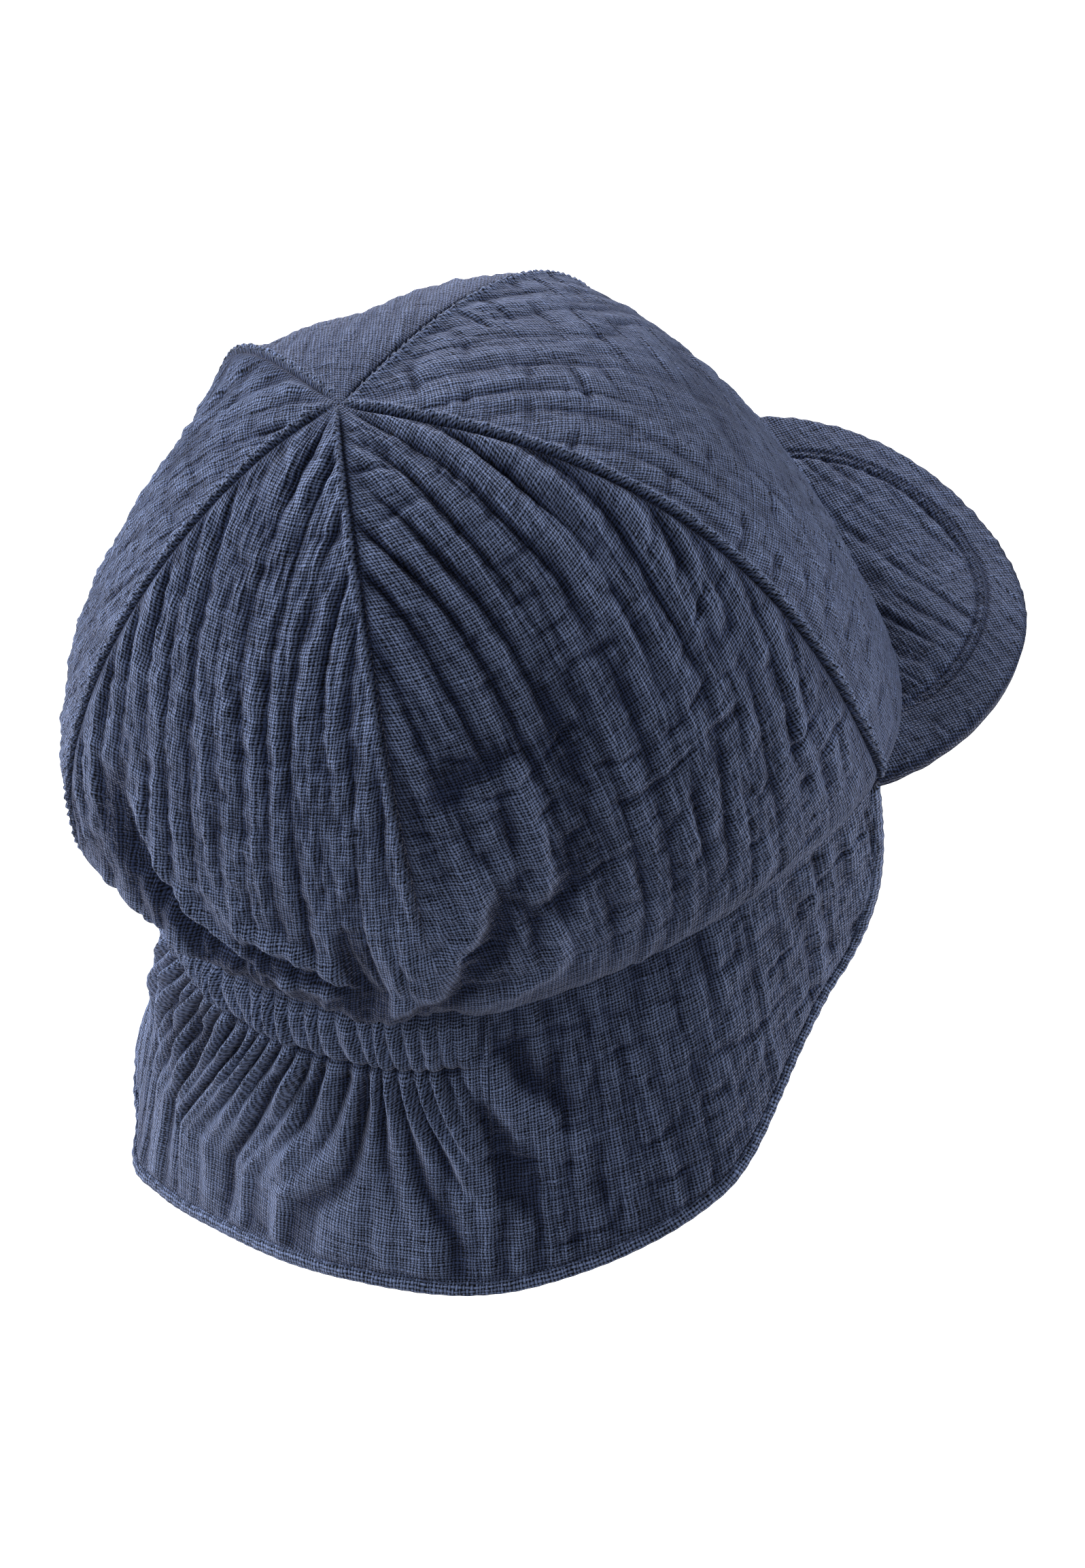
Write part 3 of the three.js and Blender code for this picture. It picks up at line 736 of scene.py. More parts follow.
NARROW_GORE = 14                # and where a gore is narrower than this, towards the apex
WIDEST_LEVEL = 0.72             # the level at which a gore is widest
WIDTH_PLACES = 60               # a gore's width is measured there over this many places
EDGE_CALM = 0.7                 # the share of the ribs that is lost near the rim
EDGE_LEVELS = (0.67, 0.8)
TOP_EASE = 7                    # all relief grows from nothing over this length at the apex
RIM_EASE = 0.04                 # and over these levels at the rim
PUCKERS = ((5.2, 1 / 4, 2.6, 0.55), (2.6, 1 / 6, 1.5, 0.5))    # width, length, height, middle
SLACK_LEVELS = (0.5, 0.9)       # the slack over the tunnel puckers more and more between these
TUCK = 3.4                      # how far the elastic pulls the slack in under the billow
TUCK_LEVEL = 0.9
TUCK_SPREAD = 0.085
LIP_GORE = 193                  # behind the wearer's left the billow hangs over in a lip
LIP_SPREAD = 22
LIP_PUSH = 3.0
POUCH_GORE = 116                # here the billow hangs lower, in a pouch with little tuck
POUCH_SPREAD = 5
POUCH_SHARE = 0.75


def seam_relief(seam, side, away, along, level):
    """Relief beside a seam, by the distance away from it on its larger (1) or smaller (-1) side."""
    relief = -SEAM_GROOVE * bump(away, SEAM_GROOVE_SPREAD)
    if side == seam["raised_side"]:
        wander = swells(SEAM_STITCH_WANDER, along, away * 0, int(seam["gore"]))
        raised = seam["raise"] - SEAM_PULL * np.sin(2 * math.pi * along / SEAM_STITCH + wander)
        relief = relief + raised * bump(away - SEAM_RAISE_AT, SEAM_RAISE_SPREAD)
        relief = relief - seam["dip"] * bump(away, SEAM_GROOVE_SPREAD)
    else:
        relief = relief - seam["dip"] * bump(away, seam["dip_spread"])
    return relief * (1 - smoothstep(level, seam["end"] - SEAM_END_FADE, seam["end"]))


def gore_grid(index):
    """One gore on a fine grid: gore angles, levels, places, ways out, azimuths and lengths."""
    start, whole = GORE_HALF_ANGLE * (1 + 2 * index), 2 * GORE_HALF_ANGLE
    row = np.linspace(start, start + whole, WIDTH_PLACES)[:, None]
    widest = crown_form(row, np.full_like(row, WIDEST_LEVEL))[0]
    columns = in_steps(lengths(widest, 0)[-1, 0], CROWN_STEP)
    share = np.linspace(0, 1, columns + 1)[:, None]
    top = apex_level(start + whole * share)
    level = top + (1 - top) * gore_rows(start + GORE_HALF_ANGLE)[None, :]
    edge = crown_form(np.full_like(level, start), level)[0]
    per_degree = np.linalg.norm(crown_form(np.full_like(level, start + 1), level)[0] - edge, axis=-1)
    lap = np.minimum(SEAM_LAP / per_degree, SEAM_LAP_MOST)
    gore = start - lap + (whole + 2 * lap) * share
    place, outward, azimuth = crown_place(gore, level)
    across = lengths(place, 0)
    across = across - across[[columns // 2]]
    return gore, level, place, outward, azimuth, across, lengths(place, 1)


def gore_relief(index, gore, level, azimuth, across, along, depth):
    """Everything that stands out of or dips into a gore's smooth form."""
    from_first, from_last = across - across[0], across[-1] - across
    seams = rows_of(SEAMS)
    edges = seam_relief(seams[index], 1, from_first, along, level)
    edges = edges + seam_relief(seams[(index + 1) % 5], -1, from_last, along, level)
    off_seam = (1 - bump(from_first, SEAM_CALM)) * (1 - bump(from_last, SEAM_CALM))
    off_seam = off_seam * np.minimum(1, (across[-1] - across[0]) / NARROW_GORE)
    ribs = crinkle(GORES[index], across, along, GORE_SEED + GORE_SEED_STEP * index) * depth
    ribs = ribs * (1 - EDGE_CALM * smoothstep(level, *EDGE_LEVELS))
    slack = gathered(azimuth) * smoothstep(level, *SLACK_LEVELS)
    puckers = 0
    for n, (width, length, height, middle) in enumerate(PUCKERS):
        crests = creased(noise(azimuth / width, level / length, PUCKER_SEED + n)) - middle
        puckers = puckers + height * crests * slack ** (n + 1)
    lip = bump(gore - LIP_GORE, LIP_SPREAD)
    pouch = POUCH_SHARE * bump(gore - POUCH_GORE, POUCH_SPREAD)
    tuck = LIP_PUSH * lip - TUCK * (1 - pouch) * (1 - lip)
    tuck = tuck * gathered(azimuth) * bump(level - TUCK_LEVEL, TUCK_SPREAD)
    folds = fold_relief(CROWN_FOLDS, gore, level, CROWN_FOLD_SCALE)
    inner = ((ribs + puckers) * off_seam + tuck + folds) * smoothstep(1 - level, 0, RIM_EASE)
    return (inner + edges) * smoothstep(along, 0, TOP_EASE)


def gore_face(index, depth):
    """A gore's outer face: levels, places, ways out, lengths across and along, and its relief."""
    gore, level, place, outward, azimuth, across, along = gore_grid(index)
    relief = gore_relief(index, gore, level, azimuth, across, along, depth)
    return level, place, outward, across, along, relief


def make_gore(index, depth):
    """One gore of the crown, with its flat width, length and area in metres."""
    _, place, outward, across, along, relief = gore_face(index, depth)
    flat = np.stack([across, along], axis=-1)
    piece = cloth_wall(GORES[index] + "_cloth", place, outward, relief, flat)
    width = float((across[-1] - across[0]).max()) * MM
    length = float(along[:, -1].max()) * MM
    return piece, (width, length), flat_area(place)


SEAM_TWIST = (1.6, 0.46, 0.27)  # length, width and height of one turn of the seam's twisted edge
SEAM_TWIST_SLANT = 22
SEAM_TWIST_SCATTER = 15
SEAM_EDGE_START = 1.5           # how far from the apex the twisted edge begins
SEAM_EDGE_END = 0.05            # how many levels before the seam's own end it stops
SEAM_EDGE_IN = 0.9              # how far beside the seam it lies


def seam_path(index, depth):
    """The raised edge beside a seam, on the outer face of the gore that it belongs to."""
    seam = rows_of(SEAMS)[index]
    towards = int(seam["raised_side"])
    gore = index if towards == 1 else (index - 1) % 5
    level, place, outward, across, along, relief = gore_face(gore, depth)
    face = place + outward * relief[..., None]
    away = np.abs(across - across[[0 if towards == 1 else -1]])
    grids = (level, face, outward, along, away)
    level, face, outward, along, away = (grid[::towards] for grid in grids)
    rows = np.arange(away.shape[1])
    last = np.clip((away < SEAM_EDGE_IN).sum(axis=0), 1, len(away) // 2)
    before, after = away[last - 1, rows], away[last, rows]
    share = np.clip((SEAM_EDGE_IN - before) / (after - before), 0, 1)[:, None]
    path = face[last - 1, rows] * (1 - share) + face[last, rows] * share
    shown = along[last, rows] > SEAM_EDGE_START
    shown = shown & (level[last, rows] < seam["end"] - SEAM_EDGE_END)
    return path[shown], outward[last, rows][shown]


# Flap, tunnel and hem

STITCH_DIP = 0.9                # the stitched lines above and below the elastic pull the cloth in
STITCH_DIP_SPREAD = 1.1
TUNNEL_PUFF = 1.5               # how far the tunnel puffs out between them
PUFF_ROUNDNESS = 0.7
PUFF_RUFFLES = 0.7              # and how much higher its ruffles are there
TUNNEL_SUNK = 0.35              # how deep its ends lie below the flap's face
SUNK_ENDS = (-0.2, 0.5)         # from and to these degrees past the tunnel's start
RUFFLE_HEIGHT = 1.6
FLAP_FOLD_HEIGHT = 5.0
FLAP_FOLD_GROWTH = 6            # the folds grow over this much cloth below the elastic
FLAP_FOLD_FADE = 40             # and fade over this much
FLAP_SWAYS = ((6.5, 70, 2.8),)  # broad waves of the hanging cloth
SWAY_GROWTH = 10
SWAY_FADE = 60
GATHERED_CALM = 0.65            # the share of the ribs that the gathers pull straight
HEM_EASE = 3                    # the relief fades over this length towards the hem and the rim
RIM_SHARE = 0.35                # but this share of it is left at the rim
HEM_DIP = 0.2
HEM_DIP_SPREAD = 1.2
FAR_FROM_HEM = 50.0


def flare(azimuth, down):
    """The flap's lean away from the head, from the rim (0) down to the hem (1)."""
    side = folded(azimuth)
    top = sample(FLAP_SECTIONS, side, "flare_at_rim")
    hem = sample(FLAP_SECTIONS, side, "flare_at_hem")
    lean = top + (hem - top) * down
    for swing in rows_of(FLAP_SWINGS):
        lean = lean + swing["turn"] * bump(azimuth - swing["azimuth"], swing["spread"])
    return np.radians(lean)


def flap_place(azimuth, drop):
    """A place on the smooth hanging cloth."""
    whole = np.maximum(HEM_WIDTH, sample(FLAP_EDGE, folded(azimuth), "drop"))
    fading = 1 - smoothstep(drop, *CINCH_FADE)
    radius = section(azimuth, "rim_radius") + FLAP_SEAT - cinched(azimuth) * fading
    height = section(azimuth, "rim_height") - GAP - slumped(azimuth) * fading
    step = drop / FLAP_BENDS
    for i in range(FLAP_BENDS):
        lean = flare(azimuth, ((i + 0.5) / FLAP_BENDS) * np.minimum(1, drop / whole))
        radius = radius + np.sin(lean) * step
        height = height - np.cos(lean) * step
    for swell in rows_of(FLAP_SWELLS):
        aside = bump(np.mod(azimuth, 360) - swell["azimuth"], swell["spread"])
        radius = radius + swell["push"] * aside * bump(drop - swell["drop"], swell["length"])
    return at_azimuth(azimuth, radius, height)


def ways_out(place):
    """The way out of a grid of places, from the places around each."""
    return unit(np.cross(np.gradient(place, axis=0), np.gradient(place, axis=1)))


def edge_moved_in(distance):
    """The free edge, moved inwards over the flat cloth: azimuths, drops and lengths to the nape."""
    scale = math.radians(FLAP_RADIUS)
    first = FLAP_EDGE["azimuth"][0]
    azimuth = first + (180 - first) * np.linspace(0, 1, EDGE_STEPS + 1) ** 2
    drop = sample(FLAP_EDGE, azimuth, "drop", False)
    run, fall = np.gradient(azimuth * scale), np.gradient(drop)
    step = np.hypot(run, fall)
    length = np.cumsum(np.hypot(np.diff(azimuth * scale), np.diff(drop)))
    return (
        np.minimum(180, azimuth + distance * fall / step / scale),
        np.maximum(0, drop - distance * run / step),
        np.concatenate([[0], length]),
    )


def hanging_gathers(azimuth, drop):
    """The gathers of the tunnel and of the flap below it, which meet along the stitched line."""
    below = np.maximum(0, drop - TUNNEL_HEIGHT)
    puff = np.sin(math.pi * np.clip(drop / TUNNEL_HEIGHT, 0, 1)) ** PUFF_ROUNDNESS
    grown = (FLAP_FOLD_HEIGHT - RUFFLE_HEIGHT) * smoothstep(below, 0, FLAP_FOLD_GROWTH)
    strength = (RUFFLE_HEIGHT + PUFF_RUFFLES * puff + grown) * np.exp(-below / FLAP_FOLD_FADE)
    relief = strength * (gather_relief(azimuth, drop) - 0.5) + TUNNEL_PUFF * puff
    sways = swells(FLAP_SWAYS, fanned(azimuth, below), drop, SWAY_SEED, ridged)
    relief = relief + sways * smoothstep(below, 0, SWAY_GROWTH) * np.exp(-below / SWAY_FADE)
    for line in (TUNNEL_HEIGHT, 0):
        relief = relief - STITCH_DIP * bump(drop - line, STITCH_DIP_SPREAD)
    return relief


def flap_relief(azimuth, drop, to_hem, depth):
    """Gathers, large folds and ribs of the tunnel and the cloth that hangs below it."""
    relief = hanging_gathers(azimuth, drop) * gathered(azimuth)
    relief = relief + fold_relief(FLAP_FOLDS, azimuth, drop, FLAP_FOLD_SCALE)
    ribs = crinkle("neck_flap", azimuth * math.radians(FLAP_RADIUS), drop, FLAP_SEED)
    relief = relief + ribs * (1 - GATHERED_CALM * gathered(azimuth)) * depth
    at_rim = RIM_SHARE + (1 - RIM_SHARE) * smoothstep(drop, 0, HEM_EASE)
    return relief * smoothstep(to_hem, 0, HEM_EASE) * at_rim - HEM_DIP * bump(to_hem, HEM_DIP_SPREAD)


def flap_columns(first):
    """Azimuths of the flap's columns, finer along its steep front edges, both sides alike."""
    scale = math.radians(FLAP_RADIUS)
    notch, nape = TUNNEL_START - 1.5 * TUNNEL_NOTCH, TUNNEL_START - TUNNEL_NOTCH / 2
    steep = np.linspace(first, STEEP_END, in_steps((STEEP_END - first) * scale, STEEP_STEP) + 1)
    free = np.linspace(STEEP_END, notch, in_steps((notch - STEEP_END) * scale, FLAP_STEP) + 1)
    back = np.linspace(nape, 180, in_steps((180 - nape) * scale, FLAP_STEP))
    right = np.concatenate([steep, free[1:], back])
    azimuth = np.concatenate([right, 360 - right[-2::-1]])
    spare = (len(azimuth) - 1) % LINING_STEP
    if spare:
        raise RuntimeError(f"the flap's columns leave {spare} over")
    return azimuth


def make_flap(depth):
    edge_azimuth, edge_drop, _ = edge_moved_in(HEM_WIDTH - HEM_LAP)
    azimuth = flap_columns(edge_azimuth[np.argmax(edge_drop > FLAP_FRONT_DROP)])
    side = folded(azimuth)
    bottom = np.interp(side, edge_azimuth, edge_drop)[:, None]
    top = np.where(side > TUNNEL_START - TUNNEL_NOTCH, TUNNEL_HEIGHT, -RIM_LAP)[:, None]
    share = np.linspace(0, 1, in_steps(FLAP_LENGTH, FLAP_STEP) + 1)
    drop = top + (bottom - top) * share
    azimuth = np.broadcast_to(azimuth[:, None], drop.shape)
    outward = ways_out(flap_place(azimuth, bottom * share))
    relief = flap_relief(azimuth, drop, bottom - drop, depth)
    flat = np.stack([azimuth * math.radians(FLAP_RADIUS), drop], axis=-1)
    return cloth_wall("neck_flap_cloth", flap_place(azimuth, drop), outward, relief, flat)


def make_tunnel(depth):
    scale = math.radians(FLAP_RADIUS)
    start = TUNNEL_START - TUNNEL_TUCK
    columns = in_steps((360 - 2 * start) * scale, TUNNEL_STEP)
    rows = in_steps(TUNNEL_HEIGHT + RIM_LAP, TUNNEL_STEP)
    azimuth, drop = np.broadcast_arrays(
        np.linspace(start, 360 - start, columns + 1)[:, None],
        np.linspace(-RIM_LAP, TUNNEL_HEIGHT, rows + 1)[None, :],
    )
    place = flap_place(azimuth, drop)
    relief = flap_relief(azimuth, drop, np.full(drop.shape, FAR_FROM_HEM), depth)
    risen = smoothstep(folded(azimuth) - TUNNEL_START, *SUNK_ENDS)
    relief = relief - TUNNEL_SUNK * (1 - risen)
    flat = np.stack([azimuth * scale, drop], axis=-1)
    return cloth_wall("elastic_tunnel_cloth", place, ways_out(place), relief, flat)


HEM_SHARE = 0.8                 # the cloth of the hem is a little flatter than its solid
HEM_PROUD = 0.35                # how far its middle stands out of the flap's
HEM_SWELLS = ((7, 1, 0.22), (2.4, 1, 0.1))
HEM_WIDTH_SHARE = 0.1           # the share of a swell that also makes it wider
HEM_TWIST = 0.14
HEM_TWIST_LENGTH = 3.1
HEM_TWIST_WANDER = ((11, 1, 3),)
HEM_FLAT_SHARE = 1 / 3          # cloth for each radian round the roll, as a share of its width
HEM_CREST = (0.55, 0.9, 0.25)   # its crest value, and what the twist and the turn add to it, which paints shade under the roll and between its swells
HEM_STITCH = (2.3, 0.4, 0.35)   # length, width and height of a stitch
HEM_STITCH_PITCH = 3.7
HEM_STITCH_SCATTER = 7
HEM_STITCH_AT = 0.1             # the share of the hem's width above the stitches
HEM_STITCH_PROUD = 0.35
HEM_STITCH_ENDS = 8             # how far before the hem's ends they stop


def hem_line(across, step):
    """Azimuths, drops and lengths along the whole free edge, at a share of the hem's width."""
    inner, outer = edge_moved_in(HEM_WIDTH), edge_moved_in(0)
    total = outer[2][-1]
    along = np.linspace(0, 2 * total, 2 * round(total / step) + 1)
    left = along > total
    half = np.where(left, 2 * total - along, along)
    azimuth = np.interp(half, outer[2], inner[0] + (outer[0] - inner[0]) * across)
    drop = np.interp(half, outer[2], inner[1] + (outer[1] - inner[1]) * across)
    return np.where(left, 360 - azimuth, azimuth), drop, along


def hem_strip(step):
    """Places along the hem's upper edge, the way across to its lower edge, and lengths."""
    azimuth, drop, along = hem_line(0, step)
    high = flap_place(azimuth, drop)
    low = flap_place(*hem_line(1, step)[:2])
    return high, low - high, along


def make_hem():
    """The rolled hem: a closed tube, wider than it is thick, with the cloth's twist across it."""
    high, wide, along = hem_strip(HEM_STEP)
    middle = high + wide / 2
    outward = unit(np.cross(np.gradient(middle, axis=0), wide))
    middle[[0, -1], 2] += HEM_LAP
    along = along[:, None]
    turn = np.linspace(0, 2 * math.pi, HEM_SIDES + 1)[:-1][None, :]
    wander = swells(HEM_TWIST_WANDER, along, along * 0, TWIST_SEED)
    twist = HEM_TWIST * np.sin(2 * math.pi * along / HEM_TWIST_LENGTH + 2 * turn + wander)
    size = 1 + swells(HEM_SWELLS, along, along * 0, HEM_SEED) + twist
    aside = 0.5 * np.cos(turn) * (1 - HEM_WIDTH_SHARE + HEM_WIDTH_SHARE * size)
    raised = HEM_SHARE * HEM_THICKNESS / 2 * np.sin(turn) * size - (CLOTH / 2 - HEM_PROUD)
    ring = middle[:, None] + wide[:, None] * aside[..., None] + outward[:, None] * raised[..., None]
    index = np.arange(ring[..., 0].size).reshape(ring.shape[:2])
    beside = np.roll(index, -1, axis=1)
    sides = np.stack([index[:-1], beside[:-1], beside[1:], index[1:]], axis=-1).reshape(-1, 4)
    faces = [sides, index[[0], ::-1], index[[-1]]]
    flat = np.stack(np.broadcast_arrays(along, turn * HEM_WIDTH * HEM_FLAT_SHARE), axis=-1)
    middle_crest, from_twist, from_turn = HEM_CREST
    # Painted shade on the roll: darker on its underside and between its swells, paler on its face.
    crest = np.clip(middle_crest + from_twist * twist + from_turn * np.sin(turn), 0, 1)
    points = ring.reshape(-1, 3)
    return smooth_mesh("flap_hem_cloth", points, faces, flat.reshape(-1, 2), crest.ravel())


def hem_stitch_path():
    """Just below the hem's upper edge, on the face of its roll."""
    high, wide, _ = hem_strip(1.0)
    place = high + wide * HEM_STITCH_AT
    outward = unit(np.cross(np.gradient(place, axis=0), wide))
    shown = np.s_[HEM_STITCH_ENDS:-HEM_STITCH_ENDS]
    return (place + outward * HEM_STITCH_PROUD)[shown], outward[shown]


# Peak

PEAK_RIB_TURN = 16              # degrees that the peak's ribs are turned off its width
STITCH_LINES_APART = 2.4
STITCH_LINE_DEPTH = 0.6
STITCH_LINE_SPREAD = 0.6
FIELD_EASE = 4                  # the ribs grow over this length from the stitched line
FIELD_PUCKERS = ((1 / 80, 6, 0.5),)     # its width is a share of the line
FIELD_PUCKERS_AT = 1
FIELD_PUCKERS_SPREAD = 2.5
BORDER_EASES = (2.5, 3)         # and on the border from its edge and the stitched line
BORDER_SCALLOPS = ((2.3, 1, 0.7),)
BORDER_SCALLOPS_SPREAD = 2.5
BORDER_EDGE_DEPTH = 0.7         # how far the border's edge rolls over
BORDER_EDGE_SPREAD = 0.9


def peak_root(azimuth):
    """A place on the peak's root, just inside the crown's edge."""
    radius = section(azimuth, "rim_radius") - ROOT_TUCK
    return at_azimuth(azimuth, radius, section(azimuth, "rim_height"))


def peak_curve(across, corner, forward, narrowing, tip_height):
    """An arched curve between two mirrored places on the rim."""
    turn = (across - 0.5) * math.pi
    reach, side = np.cos(turn), np.sin(turn)
    end = peak_root(np.array(float(corner)))
    dip = (tip_height - end[2]) * np.maximum(reach, 0) ** PEAK_TIP_DIP
    arch = PEAK_ARCH * 4 * (reach * side) ** 2
    x = end[0] * side * (1 + narrowing * reach ** 2)
    return np.stack(np.broadcast_arrays(x, end[1] - forward * reach, end[2] + dip + arch), axis=-1)


def peak_edge(across):
    return peak_curve(across, PEAK_CORNER, PEAK_FORWARD, 0, PEAK_TIP_HEIGHT)


def stitched_line(across):
    tip = PEAK_TIP_HEIGHT + STITCH_RISE
    return peak_curve(across, STITCH_CORNER, STITCH_FORWARD, STITCH_NARROWING, tip)


def peak_grid(length, depth):
    """Shares across and down one piece of the peak, in even steps."""
    columns, rows = in_steps(length, PEAK_STEP), in_steps(depth, PEAK_STEP)
    return np.linspace(0, 1, columns + 1)[:, None], np.linspace(0, 1, rows + 1)[None, :]


def peak_ribs(cloth, place, seed):
    """Ribs of the peak, which run nearly from side to side."""
    turn = math.radians(PEAK_RIB_TURN)
    x, y = place[..., 0], place[..., 1]
    across = y * math.cos(turn) - x * math.sin(turn)
    return crinkle(cloth, across, x * math.cos(turn) + y * math.sin(turn), seed)


def stitched_dip(away):
    return STITCH_LINE_DEPTH * bump(away, STITCH_LINE_SPREAD)


def peak_wall(name, place, relief):
    """One piece of the peak, and its flat area."""
    flat = place[..., :2] * (1, -1)
    return cloth_wall(name, place, ways_out(place), relief, flat, PEAK_THICKNESS), flat_area(place)


def make_field(depth):
    across, down = peak_grid(*FIELD_LENGTHS)
    root = peak_root(STITCH_CORNER * (2 * across - 1))
    line = stitched_line(across)
    place = root + (line - root) * down[..., None]
    place[..., 2] += FIELD_CAMBER * np.sin(math.pi * down) ** 2 * np.sin(math.pi * across)
    to_line = np.linalg.norm(line - place, axis=-1)
    relief = peak_ribs("peak_field", place, FIELD_SEED) * depth * smoothstep(to_line, 0, FIELD_EASE)
    puckers = swells(FIELD_PUCKERS, across + 0 * down, to_line, FIELD_PUCKER_SEED, ridged)
    relief = relief + puckers * bump(to_line - FIELD_PUCKERS_AT, FIELD_PUCKERS_SPREAD)
    relief = relief - stitched_dip(to_line) - stitched_dip(to_line - STITCH_LINES_APART)
    return peak_wall("peak_field_cloth", place, relief)


def make_border(depth):
    across, down = peak_grid(*BORDER_LENGTHS)
    inner, outer = stitched_line(across), peak_edge(across)
    lap = BORDER_LAP / np.linalg.norm(inner - outer, axis=-1)
    place = inner + (outer - inner) * ((1 + lap) * down - lap)[..., None]
    from_line = np.linalg.norm(place - inner, axis=-1)
    to_edge = np.linalg.norm(outer - place, axis=-1)
    around = np.broadcast_to(across * BORDER_LENGTHS[0], to_edge.shape)
    ease = smoothstep(to_edge, 0, BORDER_EASES[0]) * smoothstep(from_line, 0, BORDER_EASES[1])
    relief = peak_ribs("peak_border", place, BORDER_SEED) * depth * ease
    scallops = swells(BORDER_SCALLOPS, around, around * 0, SCALLOP_SEED)
    relief = relief + scallops * bump(to_edge, BORDER_SCALLOPS_SPREAD) - stitched_dip(from_line)
    relief = relief - BORDER_EDGE_DEPTH * bump(to_edge, BORDER_EDGE_SPREAD)
    return peak_wall("peak_border_cloth", place, relief)


# Shader groups and materials


class Nodes:
    """Adds nodes to a tree and links them, in few words."""

    def __init__(self, tree):
        self.tree = tree

    def feed(self, socket, value):
        """Links another socket to this one, or sets its plain value."""
        if isinstance(value, bpy.types.NodeSocket):
            self.tree.links.new(value, socket)
        else:
            socket.default_value = value

    def add(self, kind, inputs=(), **settings):
        node = self.tree.nodes.new(kind)
        for key, value in settings.items():
            setattr(node, key, value)
        for key, value in dict(inputs).items():
            self.feed(node.inputs[key], value)
        return node

    def math(self, operation, *values):
        return self.add("ShaderNodeMath", dict(enumerate(values)), operation=operation).outputs[0]

    def mix(self, factor, first, second, blend="MIX"):
        values = {0: factor, 6: first, 7: second}
        return self.add("ShaderNodeMix", values, data_type="RGBA", blend_type=blend).outputs[2]

    def noise(self, place, scale, detail):
        values = {"Vector": place, "Scale": scale, "Detail": detail}
        return self.add("ShaderNodeTexNoise", values).outputs[0]

    def span(self, value, old, new, curve="LINEAR"):
        """Carries a value over from one range to another."""
        values = dict(enumerate((value, *old, *new)))
        return self.add("ShaderNodeMapRange", values, interpolation_type=curve).outputs[0]

    def position(self):
        return self.add("ShaderNodeTexCoord").outputs["Object"]


def new_group(name, inputs, outputs, kind="ShaderNodeTree"):
    """A node group whose sockets are named and typed, and the sockets of its two ends."""
    tree = bpy.data.node_groups.new(name, kind)
    for way, sockets in (("INPUT", inputs), ("OUTPUT", outputs)):
        for label, socket_kind in sockets.items():
            tree.interface.new_socket(label, in_out=way, socket_type="NodeSocket" + socket_kind)
    make = Nodes(tree)
    return make, make.add("NodeGroupInput").outputs, make.add("NodeGroupOutput").inputs


# Scales of the noise that moves the threads aside and thickens them, across and along a thread
WAVER_SCALES = (700.0, 150.0)
SLUB_SCALES = (1500.0, 160.0)
THREAD_WAVER = 1.3
THREAD_SLUBS = 1.3
THREAD_UNDER = (0.6, 0.4)       # height of a thread halfway, and what passing over or under adds


def weave_group():
    """Plain-woven gauze over the flat cloth: thread height, a tone that paints shade into the dark
    gaps, and uneven threads.
    """
    make, given, result = new_group(
        "open muslin weave",
        {"Flat Cloth": "Vector", "Thread Pitch": "Float", "Waver": "Float", "Slubs": "Float"},
        {"Height": "Float", "Tone": "Float"},
    )

    def stretched(scales):
        """Noise drawn out along one set of threads."""
        mapping = {"Vector": given["Flat Cloth"], "Scale": (*scales, 1.0)}
        return make.noise(make.add("ShaderNodeMapping", mapping).outputs[0], 1.0, 1.0)

    def threads(place, scales):
        """The signed wave of one set of threads, which wavers along their length."""
        waver = make.math("SUBTRACT", stretched(scales), 0.5)
        moved = make.math("MULTIPLY", waver, given["Waver"])
        turns = make.math("ADD", make.math("DIVIDE", place, given["Thread Pitch"]), moved)
        return make.math("SINE", make.math("MULTIPLY", turns, math.pi))

    def seen(wave, cross, over, scales):
        """Thread height: full where it passes over, lower where it passes under, thick at slubs."""
        cover = make.math("MULTIPLY_ADD", cross, over, THREAD_UNDER[0])
        body = make.math("MULTIPLY", make.math("ABSOLUTE", wave), cover)
        slub = make.math("SUBTRACT", stretched(scales), 0.5)
        return make.math("MULTIPLY", body, make.math("MULTIPLY_ADD", slub, given["Slubs"], 1.0))

    parts = make.add("ShaderNodeSeparateXYZ", {0: given["Flat Cloth"]}).outputs
    warp, weft = threads(parts[0], WAVER_SCALES), threads(parts[1], WAVER_SCALES[::-1])
    cross = make.math("MULTIPLY", warp, weft)
    warp_height = seen(warp, cross, THREAD_UNDER[1], SLUB_SCALES)
    weft_height = seen(weft, cross, -THREAD_UNDER[1], SLUB_SCALES[::-1])
    height = make.math("MAXIMUM", warp_height, weft_height)
    make.feed(result["Height"], height)
    # The tone paints shade into the weave: dark where the threads lie low, in the gaps and under
    # crossings.
    make.feed(result["Tone"], make.math("SMOOTH_MIN", height, 1.0, 0.1))
    return make.tree


def wear_group():
    """Soft uneven dye over the whole cap, from its Object coordinates."""
    inputs = {"Position": "Vector", "Patch Size": "Float"}
    make, given, result = new_group("uneven dye", inputs, {"Tone": "Float"})
    scale = make.math("DIVIDE", 1.0, given["Patch Size"])
    make.feed(result["Tone"], make.noise(given["Position"], scale, 4.0))
    return make.tree


def new_material(name, values):
    """A material, with its shader's own values by the names of their sockets."""
    material = bpy.data.materials.new(name)
    material.use_nodes = True
    shader = material.node_tree.nodes["Principled BSDF"].inputs
    for key, value in values.items():
        shader[key].default_value = value
    return material, Nodes(material.node_tree), shader


def opaque(colour, share=1.0):
    """A colour as a shader takes it, darkened to a share."""
    return (*(share * part for part in colour), 1.0)


PATCH_SIZE = 0.03
PATCH_SPAN = ((0.3, 0.7), (0.9, 1.1))       # the dye's noise, and the tones it gives
CREST_SPAN = ((0.2, 0.85), (0.0, 1.0))      # the crest values, from the valleys' colour, a painted shade, to the crests' colour, paler partly as painted light
THREAD_SPAN = ((0.28, 0.9), (0.0, 2.65))    # the weave's height, and how light a thread is there, painting shade into the low places of the weave
SHEEN_TINT = (0.66, 0.7, 0.95)


